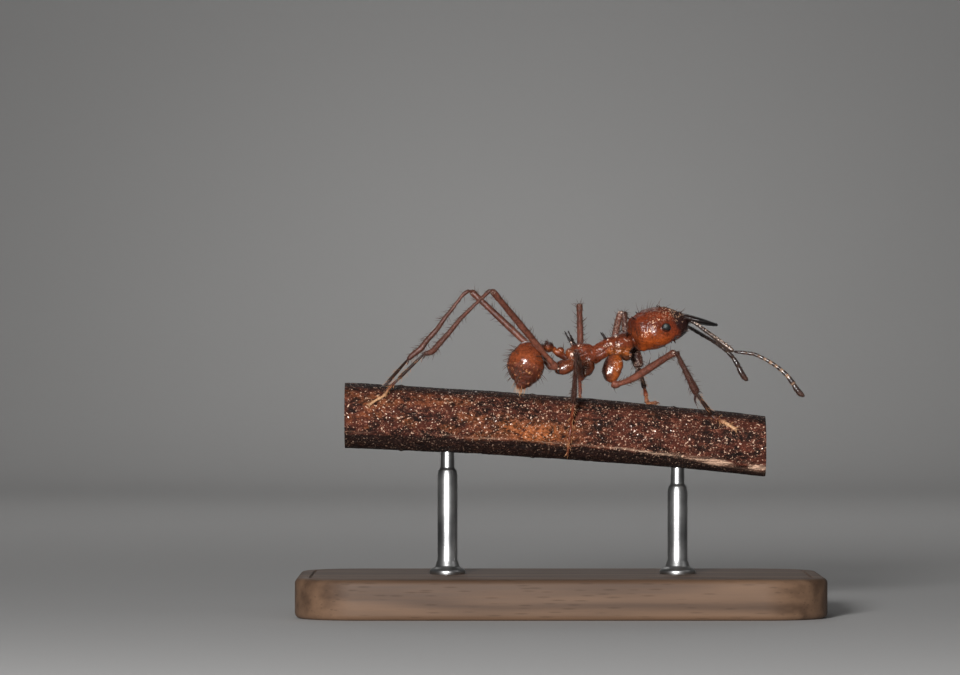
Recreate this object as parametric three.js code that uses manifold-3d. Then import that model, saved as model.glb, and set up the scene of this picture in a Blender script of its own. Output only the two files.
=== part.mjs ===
// Leafcutter ant, a life-size still model: a worker walking along a cut length of twig that
// two short rods hold over a flat base. Millimetres, +Z up. The ant heads along +X, turned a
// little towards +Y, with its right side towards -Y. The origin is the centre of the base's
// underside.

import * as THREE from 'three';
import { mergeVertices } from 'three/addons/utils/BufferGeometryUtils.js';
import Module from 'manifold-3d';

const wasm = await Module();
wasm.setup();

// --- Driving dimensions ----------------------------------------------------------------

const GAP = 0.025; // clearance between neighbouring solids
const LIMB_RADIUS = 0.25; // legs and feelers, kept stout enough to hold as solids
const HEADING = 8; // degrees the body is turned from +X towards +Y
const TRUNK_CENTRE = 1.2; // x where the body's mid line crosses the XZ plane

const BASE = { length: 21, width: 12.4, height: 1.6, corner: 2.6, bevel: 0.22 };
const ROD = { radius: 0.42, front: 4.7, rear: -4.5, sides: 14 };

const TWIG = {
  rear: -8.6,
  front: 8.2,
  height: 7.455, // of the axis where x is 0
  slope: 0.074,
  sag: 0.002,
  radius: 1.285, // where x is 0
  taper: 0.006,
  footLift: 0.08, // from the bark to the axis of a tarsus lying on it
  sides: 22,
};

const HEAD = {
  occiput: [2.96, 11.16],
  mouth: [5.09, 11.68],
  eye: { along: 0.535, out: 1, rise: 0.01, length: 0.19, height: 0.16, depth: 0.11 },
  spine: { length: 0.22, radius: 0.07 },
};

const MANDIBLE = { length: 1.34, width: 0.46, thickness: 0.26, teeth: 7, droop: 14, open: 9 };

const SCAPE = { base: [4.62, 12.06], out: 0.3 };

// Each leg: where the coxa leaves the trunk, where the trochanter turns, the knee and the
// ankle, then where the tarsus touches the twig, as distance along it and degrees round it
// from the top, towards +Y.
const LEGS = {
  front_right: {
    hip: [2.2, -0.2, 10.32],
    trochanter: [2.06, -0.6, 9.26],
    knee: [4.58, -1.9, 10.5],
    ankle: [5.44, -1.3, 8.8],
    touch: [[6.16, -44], [7.02, -65]],
    coxaRadius: 0.39,
  },
  front_left: {
    hip: [2.2, 0.48, 10.32],
    trochanter: [2.06, 0.86, 9.36],
    knee: [2.56, 1.5, 12.12],
    ankle: [3.2, 1.15, 9.84],
    touch: [[3.6, 14], [3.92, 11]],
    coxaRadius: 0.39,
  },
  middle_right: {
    hip: [1.26, -0.2, 10.04],
    trochanter: [0.84, -0.5, 9.44],
    knee: [0.6, -3.3, 10.5],
    ankle: [0.52, -1.85, 8.48],
    touch: [[0.38, -100], [0.28, -143]],
    coxaRadius: 0.27,
  },
  middle_left: {
    hip: [1.2, 0.3, 10],
    trochanter: [0.86, 0.6, 9.46],
    knee: [0.8, 1.5, 12.44],
    ankle: [0.8, 1.38, 9.96],
    touch: [[0.84, 45], [0.93, 88]],
    coxaRadius: 0.27,
  },
  hind_right: {
    hip: [0.5, -0.36, 9.98],
    trochanter: [-0.12, -0.68, 9.8],
    knee: [-2.76, -2.7, 12.96],
    ankle: [-5.44, -1.75, 10.4],
    touch: [[-7.24, -57], [-7.62, -71]],
    coxaRadius: 0.3,
  },
  hind_left: {
    hip: [0.42, 0.2, 9.98],
    trochanter: [-0.24, 0.5, 9.8],
    knee: [-3.6, 1.2, 12.96],
    ankle: [-6.12, 1.1, 10.16],
    touch: [[-7, 23], [-7.5, 50], [-7.92, 68]],
    coxaRadius: 0.3,
  },
};

// Each feeler's elbow and the curve of its whip.
const FEELERS = {
  right: {
    elbow: [6.92, -0.7, 10.5],
    whip: [[7.54, -0.85, 10.45], [8.33, -1, 10.1], [9.04, -1.05, 9.54], [9.66, -1, 8.6]],
  },
  left: {
    elbow: [5.04, 3.5, 11.62],
    whip: [[5.69, 3.75, 11.24], [6.46, 4, 10.78], [7.1, 4.1, 10.24], [7.62, 4.1, 9.2]],
  },
};

const COLOURS = {
  shell: 0x8a3c1c,
  headShell: 0x9a4519,
  limb: 0x6b3020,
  foot: 0x7a4526,
  jaw: 0x2a0f0a,
  eye: 0x23282a,
  bark: 0x4a271d,
  wood: 0x4b3526,
  steel: 0xb4b6b8,
};

// --- Frames and curves -------------------------------------------------------------------

const UP = new THREE.Vector3(0, 0, 1);
const heading = THREE.MathUtils.degToRad(HEADING);
const vec = (point) => new THREE.Vector3(...point);

/** A point of the body: distance along +X, distance to the left of the mid line, height. */
function onBody(x, left, z) {
  const along = (x - TRUNK_CENTRE) / Math.cos(heading);
  return new THREE.Vector3(
    TRUNK_CENTRE + along * Math.cos(heading) - left * Math.sin(heading),
    along * Math.sin(heading) + left * Math.cos(heading),
    z,
  );
}

const twigHeight = (x) => TWIG.height - TWIG.slope * x - TWIG.sag * x * x;
const twigRadius = (x) => TWIG.radius - TWIG.taper * x;

/** A point on the bark, lifted to the axis of a limb that lies there. */
function onTwig([x, turn]) {
  const angle = THREE.MathUtils.degToRad(turn);
  const reach = twigRadius(x) + TWIG.footLift;
  return new THREE.Vector3(x, reach * Math.sin(angle), twigHeight(x) + reach * Math.cos(angle));
}

/** The path of a tarsus over the bark through its touching points, with one between each two. */
function overBark(touch) {
  const path = [onTwig(touch[0])];
  for (let i = 1; i < touch.length; i++) {
    const [[xA, turnA], [xB, turnB]] = [touch[i - 1], touch[i]];
    path.push(onTwig([(xA + xB) / 2, (turnA + turnB) / 2]), onTwig(touch[i]));
  }
  return path;
}

/** The twig's axis, from its rear cut to its front one. */
class TwigAxis extends THREE.Curve {
  getPoint(t, target = new THREE.Vector3()) {
    const x = THREE.MathUtils.lerp(TWIG.rear, TWIG.front, t);
    return target.set(x, 0, twigHeight(x));
  }
}

const curveThrough = (points) => new THREE.CatmullRomCurve3(points, false, 'centripetal');

// --- Solids ------------------------------------------------------------------------------

/** A closed three.js geometry as a manifold solid. */
function toSolid(geometry) {
  const bare = geometry.clone();
  bare.deleteAttribute('normal');
  bare.deleteAttribute('uv');
  const merged = mergeVertices(bare);
  const triangles = [];
  for (let i = 0; i < merged.index.count; i += 3) {
    const corners = [0, 1, 2].map((k) => merged.index.getX(i + k));
    if (new Set(corners).size === 3) triangles.push(...corners);
  }
  return new wasm.Manifold(new wasm.Mesh({
    numProp: 3,
    vertProperties: new Float32Array(merged.attributes.position.array),
    triVerts: new Uint32Array(triangles),
  }));
}

/** A manifold solid as a three.js geometry. */
function toGeometry(solid) {
  const { vertProperties, triVerts } = solid.getMesh();
  const geometry = new THREE.BufferGeometry();
  geometry.setAttribute('position', new THREE.BufferAttribute(vertProperties, 3));
  geometry.setIndex(new THREE.BufferAttribute(triVerts, 1));
  return geometry;
}

/** A smooth outline through a few [share of the length, half height] stations. */
function smooth(stations, rings, length) {
  const curve = new THREE.SplineCurve(
    stations.map(([t, radius]) => new THREE.Vector2(radius, t * length)),
  );
  return curve.getSpacedPoints(rings).map(({ x, y }) => [y / length, Math.max(x, 0)]);
}

/**
 * A solid swept along a spine. The outline gives [share of the length, half height], on the
 * axis at both ends; the width ratio turns the half height into the half width, which lies
 * square to the reference direction; the margin grows the solid on every side.
 */
function sweep(spine, outline, options = {}) {
  const { sides = 8, widthRatio = () => 1, margin = 0, reference = UP } = options;
  const profile = outline.map(([t, radius]) => new THREE.Vector2(radius, t));
  const geometry = new THREE.LatheGeometry(profile, sides);
  const position = geometry.attributes.position;
  for (let i = 0; i < position.count; i++) {
    const t = THREE.MathUtils.clamp(position.getY(i), 0, 1);
    const tangent = spine.getTangentAt(t);
    const across = new THREE.Vector3().crossVectors(reference, tangent).normalize();
    const drop = new THREE.Vector3().crossVectors(across, tangent);
    const radius = Math.hypot(position.getX(i), position.getZ(i));
    const grow = radius > 1e-6 ? (radius + margin) / radius : 0;
    const stretch = (t < 0.5 ? -margin : margin) * (radius > 1e-6 ? 0.5 : 1);
    const point = spine.getPointAt(t)
      .addScaledVector(across, position.getX(i) * grow * widthRatio(t))
      .addScaledVector(drop, position.getZ(i) * grow)
      .addScaledVector(tangent, stretch);
    position.setXYZ(i, point.x, point.y, point.z);
  }
  return toSolid(geometry);
}

/** An organic lump along a spine, its outline smoothed through a few stations. */
function lump(spine, stations, { rings = 8, ...options } = {}) {
  return sweep(spine, smooth(stations, rings, spine.getLength()), options);
}

/** A direction that no stretch of a gently bent spine runs along. */
function steadyDirection(spine) {
  const bend = new THREE.Vector3().crossVectors(spine.getTangentAt(0), spine.getTangentAt(1));
  return bend.length() > 0.2 ? bend.normalize() : UP;
}

/** A limb of even thickness with domed ends, through two or more points. */
function limb(points, { radius = LIMB_RADIUS, bends = 0, sides = 8, margin = 0 } = {}) {
  const spine = points.length === 2 ? new THREE.LineCurve3(...points) : curveThrough(points);
  const round = radius / spine.getLength();
  const dome = [0, 1, 2, 3].map((k) => {
    const angle = (k * Math.PI) / 6;
    return [round * (1 - Math.cos(angle)), radius * Math.sin(angle)];
  });
  const middle = [];
  for (let k = 1; k <= bends; k++) {
    middle.push([THREE.MathUtils.lerp(round, 1 - round, k / (bends + 1)), radius]);
  }
  const farDome = dome.map(([t, r]) => [1 - t, r]).reverse();
  const outline = [...dome, ...middle, ...farDome];
  return sweep(spine, outline, { sides, margin, reference: steadyDirection(spine) });
}

/** A pointed spine from inside its carrier to its tip. */
function thorn(root, tip, radius) {
  return sweep(new THREE.LineCurve3(root, tip), [[0, 0], [0.01, radius], [1, 0]], { sides: 6 });
}

// --- The pieces of the body ----------------------------------------------------------------

const headAxis = new THREE.LineCurve3(
  onBody(HEAD.occiput[0], 0, HEAD.occiput[1]),
  onBody(HEAD.mouth[0], 0, HEAD.mouth[1]),
);
const headLength = headAxis.getLength();
const headForward = headAxis.getTangent(0);
const headLeft = new THREE.Vector3().crossVectors(UP, headForward).normalize();
const headUp = new THREE.Vector3().crossVectors(headForward, headLeft);

/** A point of the head: share of its length from the occiput, distance left, distance up. */
function onHead(t, left, rise) {
  return headAxis.getPoint(t).addScaledVector(headLeft, left).addScaledVector(headUp, rise);
}

/** The head capsule: two lobes behind, a notch between them, broad cheeks, a blunt mouth. */
function headCapsule(margin = 0) {
  const spine = curveThrough([
    onHead(-0.05, 0, -0.03),
    onHead(0.3, 0, 0.06),
    onHead(0.56, 0, 0.08),
    onHead(0.76, 0, 0.03),
    onHead(1, 0, 0),
  ]);
  const outline = [[0, 0], [0.01, 0.46], [0.05, 0.66], [0.19, 0.77], [0.34, 0.84], [0.5, 0.82],
    [0.7, 0.67], [0.79, 0.58], [0.89, 0.45], [0.96, 0.33], [1, 0.2], [1, 0]];
  const widthRatio = (t) => 1.16 + 0.22 * t + 0.12 * t * t;
  let solid = lump(spine, outline, { sides: 18, rings: 12, widthRatio, margin });
  if (margin > 0) return solid;
  const notch = new THREE.LineCurve3(onHead(-0.2, 0, 0.2), onHead(0.2, 0, 0.4));
  solid = solid.subtract(lump(notch, [[0, 0], [0.3, 0.62], [0.7, 0.46], [1, 0]], {
    rings: 5,
    widthRatio: () => 0.46,
  }));
  for (const side of [-1, 1]) {
    const root = onHead(0.08, side * 0.55, 0.42);
    const tip = onHead(-0.03, side * 0.72, 0.42 + HEAD.spine.length);
    const cheekRoot = onHead(0.63, side * 0.4, -0.5);
    const cheekTip = onHead(0.64, side * 0.44, -0.73);
    const lobe = limb([onHead(0.7, side * 0.2, 0.4), onHead(0.9, side * 0.24, 0.32)], {
      radius: 0.17,
    });
    solid = solid.add(thorn(root, tip, HEAD.spine.radius));
    solid = solid.add(thorn(cheekRoot, cheekTip, HEAD.spine.radius));
    solid = solid.add(lobe);
  }
  return solid;
}

/** A compound eye, a low oval dome on the cheek. */
function eye(side, margin = 0) {
  const { along, out, rise, length, height, depth } = HEAD.eye;
  const geometry = new THREE.SphereGeometry(1, 12, 8);
  geometry.scale(depth + margin, length + margin, height + margin);
  const basis = new THREE.Matrix4().makeBasis(headLeft, headForward.clone().negate(), headUp);
  geometry.applyMatrix4(basis.setPosition(onHead(along, side * out, rise)));
  return toSolid(geometry);
}

/** One jaw: a curved outer edge, and a chewing edge with teeth that grow to the tip. */
function mandible(side) {
  const { length, width, thickness, teeth, droop, open } = MANDIBLE;
  const outline = new THREE.Shape();
  outline.moveTo(0, -0.3 * width);
  outline.quadraticCurveTo(0.62 * length, -0.42 * width, length, 0.62 * width);
  const chewing = new THREE.LineCurve(
    new THREE.Vector2(0.93 * length, 0.62 * width),
    new THREE.Vector2(0.36 * length, 0.7 * width),
  );
  for (let i = 0; i < teeth; i++) {
    const notch = chewing.getPoint(i / teeth);
    const point = chewing.getPoint((i + 0.5) / teeth);
    outline.lineTo(notch.x, notch.y - 0.09 * width);
    outline.lineTo(point.x, point.y + 0.07 * width);
  }
  outline.lineTo(0.3 * length, 0.5 * width);
  outline.lineTo(0, 0.3 * width);
  const blade = new THREE.ExtrudeGeometry(outline, {
    depth: thickness - 0.08,
    bevelSize: 0.03,
    bevelThickness: 0.04,
    bevelSegments: 1,
    curveSegments: 6,
  });
  blade.translate(0, 0, 0.04 - thickness / 2);
  if (side > 0) blade.rotateX(Math.PI);
  blade.rotateZ(THREE.MathUtils.degToRad(side * open));
  blade.rotateY(THREE.MathUtils.degToRad(droop));
  blade.rotateZ(heading);
  const hinge = onBody(4.96, side * 0.42, 11.88);
  blade.translate(hinge.x, hinge.y, hinge.z);
  return toSolid(blade);
}

/** The feeler's first joint, from its socket under the frontal lobe to the elbow. */
function scape(side, margin = 0) {
  const elbow = vec(FEELERS[side > 0 ? 'left' : 'right'].elbow);
  return limb([onBody(SCAPE.base[0], side * SCAPE.out, SCAPE.base[1]), elbow], { margin });
}

/** The feeler's whip, from the elbow to the end of its club. */
function funiculus(side) {
  const { elbow, whip } = FEELERS[side > 0 ? 'left' : 'right'];
  return limb([vec(elbow), ...whip.map(vec)], { bends: 7 });
}

/** The front of the trunk: collar, domed back and the spines on it. */
function pronotum(margin = 0) {
  const spine = curveThrough([
    onBody(3.02, 0, 10.98),
    onBody(2.4, 0, 10.84),
    onBody(1.66, 0, 10.66),
  ]);
  const outline = [[0, 0], [0.03, 0.26], [0.22, 0.42], [0.5, 0.5], [0.8, 0.42], [0.97, 0.3],
    [1, 0]];
  const widthRatio = (t) => 1 + 0.26 * Math.sin(Math.PI * t);
  let solid = lump(spine, outline, { sides: 14, rings: 9, widthRatio, margin });
  if (margin > 0) return solid;
  for (const side of [-1, 1]) {
    solid = solid.add(thorn(onBody(2.62, side * 0.3, 11), onBody(2.72, side * 0.62, 11.3), 0.08));
    solid = solid.add(thorn(onBody(1.86, side * 0.16, 10.9), onBody(1.62, side * 0.2, 11.3), 0.08));
  }
  return solid;
}

/** The rear of the trunk, which the middle and hind legs hang from, with its long spines. */
function propodeum(margin = 0) {
  const spine = curveThrough([
    onBody(1.72, 0, 10.5),
    onBody(1.2, 0, 10.36),
    onBody(0.7, 0, 10.36),
    onBody(0.2, 0, 10.38),
  ]);
  const outline = [[0, 0], [0.03, 0.3], [0.3, 0.42], [0.66, 0.44], [0.9, 0.34], [1, 0.16], [1, 0]];
  let solid = lump(spine, outline, { sides: 14, rings: 9, widthRatio: () => 0.92, margin });
  if (margin > 0) return solid;
  for (const side of [-1, 1]) {
    const [foot, tip] = [onBody(0.6, side * 0.22, 10.6), onBody(0.25, side * 0.5, 11.32)];
    solid = solid.add(thorn(foot, tip, 0.08));
  }
  return solid;
}

/** The first waist joint, a short stalk and a rounded node. */
function petiole(margin = 0) {
  const spine = curveThrough([
    onBody(0.24, 0, 10.26),
    onBody(0.02, 0, 10.48),
    onBody(-0.25, 0, 10.58),
  ]);
  const outline = [[0, 0], [0.03, 0.13], [0.3, 0.16], [0.62, 0.2], [0.95, 0.13], [1, 0]];
  return lump(spine, outline, { sides: 10, widthRatio: () => 1.25, margin });
}

/** The second waist joint, broader than long. */
function postpetiole(margin = 0) {
  const spine = curveThrough([
    onBody(-0.26, 0, 10.6),
    onBody(-0.48, 0, 10.67),
    onBody(-0.86, 0, 10.64),
  ]);
  const outline = [[0, 0], [0.04, 0.14], [0.4, 0.24], [0.7, 0.19], [0.96, 0.14], [1, 0]];
  return lump(spine, outline, { sides: 10, widthRatio: () => 1.5, margin });
}

/** The gaster, a blunt egg that hangs down behind the waist. */
function gaster(margin = 0) {
  const spine = curveThrough([
    onBody(-1.19, 0, 10.88),
    onBody(-1.29, 0, 10.4),
    onBody(-1.37, 0, 10),
    onBody(-1.47, 0, 9.56),
    onBody(-1.77, 0, 9),
  ]);
  const outline = [[0, 0], [0.02, 0.2], [0.08, 0.39], [0.16, 0.52], [0.25, 0.63], [0.36, 0.73],
    [0.48, 0.76], [0.56, 0.745], [0.7, 0.63], [0.78, 0.52], [0.87, 0.37], [0.95, 0.2], [1, 0]];
  return lump(spine, outline, { rings: 12, sides: 16, margin });
}

// --- The legs --------------------------------------------------------------------------------

/** The four solids of one leg, each cut clear of the one before it. */
function leg({ hip, trochanter, knee, ankle, touch, coxaRadius }, trunk, twig) {
  const [hipAt, turnAt, kneeAt, ankleAt] = [hip, trochanter, knee, ankle].map(vec);
  const coxaLine = new THREE.LineCurve3(hipAt, turnAt);
  const coxaOutline = [[0, 0], [0.06, 0.7], [0.35, 1], [0.75, 0.8], [0.97, 0.5], [1, 0]]
    .map(([t, share]) => [t, share * coxaRadius]);
  const coxa = (margin = 0) => lump(coxaLine, coxaOutline, { sides: 11, rings: 7, margin });
  const femur = (margin = 0) => limb([turnAt, kneeAt], { margin });
  const tibia = (margin = 0) => limb([kneeAt, ankleAt], { margin });
  const tarsus = limb([ankleAt, ...overBark(touch)], { bends: 5 });
  return {
    coxa: coxa().subtract(trunk),
    femur: femur().subtract(coxa(GAP)).subtract(trunk),
    tibia: tibia().subtract(femur(GAP)),
    tarsus: tarsus.subtract(tibia(GAP)).subtract(twig),
  };
}

// --- Perch and stand ---------------------------------------------------------------------------

/** The cut length of twig the ant walks on. */
function twig(margin = 0) {
  const length = TWIG.front - TWIG.rear;
  const stations = 10;
  const profile = [new THREE.Vector2(0, 0)];
  for (let i = 0; i <= stations; i++) {
    const t = i / stations;
    profile.push(new THREE.Vector2(twigRadius(TWIG.rear + t * length) + margin, t * length));
  }
  profile.push(new THREE.Vector2(0, length));
  const geometry = new THREE.LatheGeometry(profile, TWIG.sides);
  const axis = new TwigAxis();
  const position = geometry.attributes.position;
  for (let i = 0; i < position.count; i++) {
    const centre = axis.getPoint(position.getY(i) / length);
    position.setXYZ(i, centre.x, -position.getX(i), centre.z + position.getZ(i));
  }
  return toSolid(geometry);
}

/** The flat base, a rounded rectangle with softened edges. */
function standBase() {
  const { length, width, height, corner, bevel } = BASE;
  const [x, y] = [length / 2 - bevel, width / 2 - bevel];
  const outline = new THREE.Shape();
  outline.moveTo(corner - x, -y);
  outline.lineTo(x - corner, -y);
  outline.absarc(x - corner, corner - y, corner, -Math.PI / 2, 0);
  outline.absarc(x - corner, y - corner, corner, 0, Math.PI / 2);
  outline.absarc(corner - x, y - corner, corner, Math.PI / 2, Math.PI);
  outline.absarc(corner - x, corner - y, corner, Math.PI, 1.5 * Math.PI);
  const slab = new THREE.ExtrudeGeometry(outline, {
    depth: height - 2 * bevel,
    bevelSize: bevel,
    bevelThickness: bevel,
    bevelSegments: 2,
    curveSegments: 5,
  });
  slab.translate(0, 0, bevel);
  return toSolid(slab);
}

/** A rod from the base to the twig's underside, its top cut to the bark. */
function standRod(x, twigSolid) {
  const height = twigHeight(x) - BASE.height;
  const rod = new THREE.CylinderGeometry(ROD.radius, ROD.radius, height, ROD.sides);
  rod.rotateX(Math.PI / 2);
  rod.translate(x, 0, BASE.height + height / 2);
  return toSolid(rod).subtract(twigSolid);
}

// --- The model -------------------------------------------------------------------------------

const model = new THREE.Group();

/** Adds one named solid to the model. */
function addPiece(name, solid, colour, roughness = 0.35, metalness = 0) {
  const material = new THREE.MeshStandardMaterial({ color: colour, roughness, metalness });
  const mesh = new THREE.Mesh(toGeometry(solid), material);
  mesh.name = name;
  model.add(mesh);
}

const twigClear = twig(GAP);
addPiece('stand_base', standBase(), COLOURS.wood, 0.45);
addPiece('stand_rod_front', standRod(ROD.front, twigClear), COLOURS.steel, 0.3, 1);
addPiece('stand_rod_rear', standRod(ROD.rear, twigClear), COLOURS.steel, 0.3, 1);
addPiece('perch_twig', twig(), COLOURS.bark, 0.7);

const scapesClear = scape(-1, GAP).add(scape(1, GAP));
const eyesClear = eye(-1, GAP).add(eye(1, GAP));
const headClear = headCapsule(GAP);
const trunkClear = pronotum(GAP).add(propodeum(GAP));

addPiece('head', headCapsule().subtract(pronotum(GAP)).subtract(eyesClear)
  .subtract(scapesClear), COLOURS.headShell, 0.3);
addPiece('pronotum', pronotum(), COLOURS.shell, 0.3);
addPiece('propodeum', propodeum().subtract(pronotum(GAP)), COLOURS.shell, 0.35);
addPiece('petiole', petiole().subtract(propodeum(GAP)), COLOURS.shell, 0.35);
addPiece('postpetiole', postpetiole().subtract(petiole(GAP)), COLOURS.shell, 0.35);
addPiece('gaster', gaster().subtract(postpetiole(GAP)), COLOURS.shell, 0.3);

for (const [sideName, side] of [['right', -1], ['left', 1]]) {
  addPiece(`eye_${sideName}`, eye(side), COLOURS.eye, 0.15);
  addPiece(`mandible_${sideName}`, mandible(side).subtract(headClear).subtract(scapesClear),
    COLOURS.jaw, 0.3);
  addPiece(`scape_${sideName}`, scape(side), COLOURS.limb, 0.4);
  addPiece(`funiculus_${sideName}`, funiculus(side).subtract(scape(side, GAP)), COLOURS.limb, 0.5);
}

for (const [place, joints] of Object.entries(LEGS)) {
  const solids = leg(joints, trunkClear, twigClear);
  addPiece(`coxa_${place}`, solids.coxa, COLOURS.shell, 0.3);
  addPiece(`femur_${place}`, solids.femur, COLOURS.limb, 0.4);
  addPiece(`tibia_${place}`, solids.tibia, COLOURS.limb, 0.45);
  addPiece(`tarsus_${place}`, solids.tarsus, COLOURS.foot, 0.55);
}

export default model;
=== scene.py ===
"""A leafcutter ant walking along a cut twig: a life-size museum model on its stand.

Each piece is modelled in millimetres around the frame's solids, and is brought to metres when
it is finished. +X is the way the ant walks, +Z is up, and its right side faces -Y.
"""

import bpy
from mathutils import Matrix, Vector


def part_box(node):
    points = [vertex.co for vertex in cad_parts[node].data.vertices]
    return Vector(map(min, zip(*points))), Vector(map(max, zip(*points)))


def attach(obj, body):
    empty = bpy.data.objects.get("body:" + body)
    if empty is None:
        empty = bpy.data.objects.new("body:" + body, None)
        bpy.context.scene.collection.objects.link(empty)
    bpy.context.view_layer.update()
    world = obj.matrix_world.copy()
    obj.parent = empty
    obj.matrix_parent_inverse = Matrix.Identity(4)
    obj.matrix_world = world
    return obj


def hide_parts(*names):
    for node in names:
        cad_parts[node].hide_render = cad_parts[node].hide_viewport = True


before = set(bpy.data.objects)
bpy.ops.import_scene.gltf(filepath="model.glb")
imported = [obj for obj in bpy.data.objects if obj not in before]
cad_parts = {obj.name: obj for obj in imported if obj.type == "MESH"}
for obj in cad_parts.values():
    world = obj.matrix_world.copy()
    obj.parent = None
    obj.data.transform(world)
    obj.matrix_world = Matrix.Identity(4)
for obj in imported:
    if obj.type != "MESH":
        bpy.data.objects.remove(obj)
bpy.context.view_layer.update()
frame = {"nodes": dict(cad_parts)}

import logging
import math
from dataclasses import dataclass, replace
from enum import Enum
from typing import Callable, ClassVar, Sequence

import bpy
import numpy as np
from mathutils import Matrix, Vector, noise

Array = np.ndarray
Colour = tuple[float, float, float]
Stations = tuple[tuple[float, float], ...]
Rows = tuple[tuple[float, ...], ...]
Where = Callable[[Array, Array], Array]
Material = bpy.types.Material

log = logging.getLogger("ant")

MILLIMETRE = 0.001
TOUCH = 1e-3  # Millimetres: places nearer than this are the same.
TINY = 1e-9  # Keeps divisions by a length or an area safe.
UP = Vector((0, 0, 1))


class Side(Enum):
    """The two sides of the ant, with the sign of its distance to the left."""

    RIGHT = -1
    LEFT = 1

    @property
    def word(self) -> str:
        """The side as the solids' names spell it."""
        return self.name.lower()


class Place(Enum):
    """The three pairs of legs."""

    FRONT = "front"
    MIDDLE = "middle"
    HIND = "hind"


class Layer(Enum):
    """The values that are painted on a mesh for its material to read."""

    # Dusk darkens, both as dark colour and as painted shade; glow tints lighter, on the eye as a
    # painted reflection.
    DUSK = "dusk"
    GLOW = "glow"
    CALM = "calm"
    # Tip: painted highlights on the shells, pale fibres on the bark, the share to the tip on
    # bristles.
    TIP = "tip"


# --- Numbers and curves ---


def ramp(values: Array, low: float, high: float) -> Array:
    """Rises smoothly from 0 at low to 1 at high, or falls where low is the greater."""
    share = np.clip((np.asarray(values) - low) / (high - low), 0, 1)
    return share * share * (3 - 2 * share)


def bell(values: Array, width: float) -> Array:
    """A bell curve round zero, 1 at its top."""
    return np.exp(-((np.asarray(values) / width) ** 2))


def most(*layers: Array) -> Array:
    """The greatest of several values, point by point."""
    return np.max(np.broadcast_arrays(*layers), axis=0)


def unit(rows: Array) -> Array:
    """Brings each row to length one."""
    return rows / np.maximum(np.linalg.norm(rows, axis=1, keepdims=True), TINY)


def through(stations: Stations, shares: Array) -> Array:
    """A smooth curve through stations, without overshoot at the ends.

    Args:
        stations: Pairs of a share and the value there, in order.
        shares: Where the curve is wanted.

    Returns:
        The value at each share.
    """
    at, value = np.array(stations, float).T
    slope = np.gradient(value, at)
    shares = np.clip(shares, at[0], at[-1])
    span = np.clip(np.searchsorted(at, shares, side="right") - 1, 0, len(at) - 2)
    width = at[span + 1] - at[span]
    t = (shares - at[span]) / width
    low, high = value[span], value[span + 1]
    curve = low + t * t * (3 - 2 * t) * (high - low)
    return curve + width * t * (1 - t) * ((1 - t) * slope[span] - t * slope[span + 1])


def to_segment(points: Array, start: Vector, end: Vector) -> tuple[Array, Array]:
    """Measures points against a straight segment.

    Args:
        points: The points, one a row.
        start: The segment's first end.
        end: Its other end.

    Returns:
        Each point's distance from the segment, and its share along it from 0 to 1.
    """
    a, b = np.array(start), np.array(end)
    share = np.clip((points - a) @ (b - a) / ((b - a) @ (b - a)), 0, 1)
    return np.linalg.norm(points - a - share[:, None] * (b - a), axis=1), share


def patches(points: Array, spots: Rows) -> Array:
    """Marks oval patches on the flanks, for painted highlights: X and Z of each one's middle, reach
    along X and Z.
    """
    x, z = points[:, 0], points[:, 2]
    return most(*(ramp(np.hypot((x - a) / wide, (z - b) / high), 1.1, 0.6)
                  for a, b, wide, high in spots))


def grain_at(points: Array, size: float | Sequence[float], octaves: int = 3) -> Array:
    """Soft random relief from about -1 to 1, with bumps of a size in all or each direction."""
    scaled = points / np.asarray(size, float)
    return np.array([noise.fractal(Vector(p), 0.9, 2, octaves) for p in scaled])


class Line:
    """A smooth path through points, with a frame that doesn't spin along it."""

    STEPS = 14

    def __init__(self, points: Sequence[Vector], above: Vector = UP) -> None:
        """Draws the path.

        Args:
            points: Two or more points that the path goes through.
            above: The direction that the frame's lift starts nearest to.
        """
        knots = np.array([tuple(p) for p in points], float)
        padded = np.vstack([2 * knots[0] - knots[1], knots, 2 * knots[-1] - knots[-2]])
        t = np.arange(self.STEPS)[:, None] / self.STEPS
        path = []
        for a, b, c, d in zip(padded, padded[1:], padded[2:], padded[3:]):
            path.append(0.5 * (2 * b + (c - a) * t + (2 * a - 5 * b + 4 * c - d) * t**2
                               + (3 * b - a - 3 * c + d) * t**3))
        self.path = np.vstack([*path, knots[-1]])
        steps = np.linalg.norm(np.diff(self.path, axis=0), axis=1)
        self.along = np.concatenate([[0], np.cumsum(steps)])
        self.length = float(self.along[-1])
        self.tangent = unit(np.gradient(self.path, self.along, axis=0))
        across = np.cross(np.array(above), self.tangent[0])
        rows = []
        for tangent in self.tangent:
            across = across - tangent * (across @ tangent)
            across = across / np.linalg.norm(across)
            rows.append(across)
        self.across = np.array(rows)
        self.lift = np.cross(self.tangent, self.across)

    def _at(self, table: Array, distance: Array) -> Array:
        """Reads one of the path's tables at distances along it."""
        return np.stack([np.interp(distance, self.along, column) for column in table.T], 1)

    def lay(self, points: Array) -> Array:
        """Bends a straight shape onto the path, from across, lift and distance along +Z."""
        distance = np.clip(points[:, 2], 0, self.length)
        tangent = self._at(self.tangent, distance)
        return (self._at(self.path, distance)
                + points[:, :1] * self._at(self.across, distance)
                + points[:, 1:2] * self._at(self.lift, distance)
                + (points[:, 2] - distance)[:, None] * tangent)

    def point(self, share: float) -> Vector:
        """The path's point at a share of its length."""
        return Vector(self.lay(np.array([[0, 0, share * self.length]]))[0])

    def direction(self, share: float) -> Vector:
        """The way the path runs at a share of its length."""
        return Vector(self._at(self.tangent, np.array([share * self.length]))[0])


def dome(share: Array, start: float, end: float, least: float) -> Array:
    """How full a rod with rounded ends is, from its least at them to 1 between them."""
    ease = np.clip(np.minimum(share / start, (1 - share) / end), 0, 1)
    return np.sqrt(np.clip(1 - (1 - ease) ** 2, least**2, 1))


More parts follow.
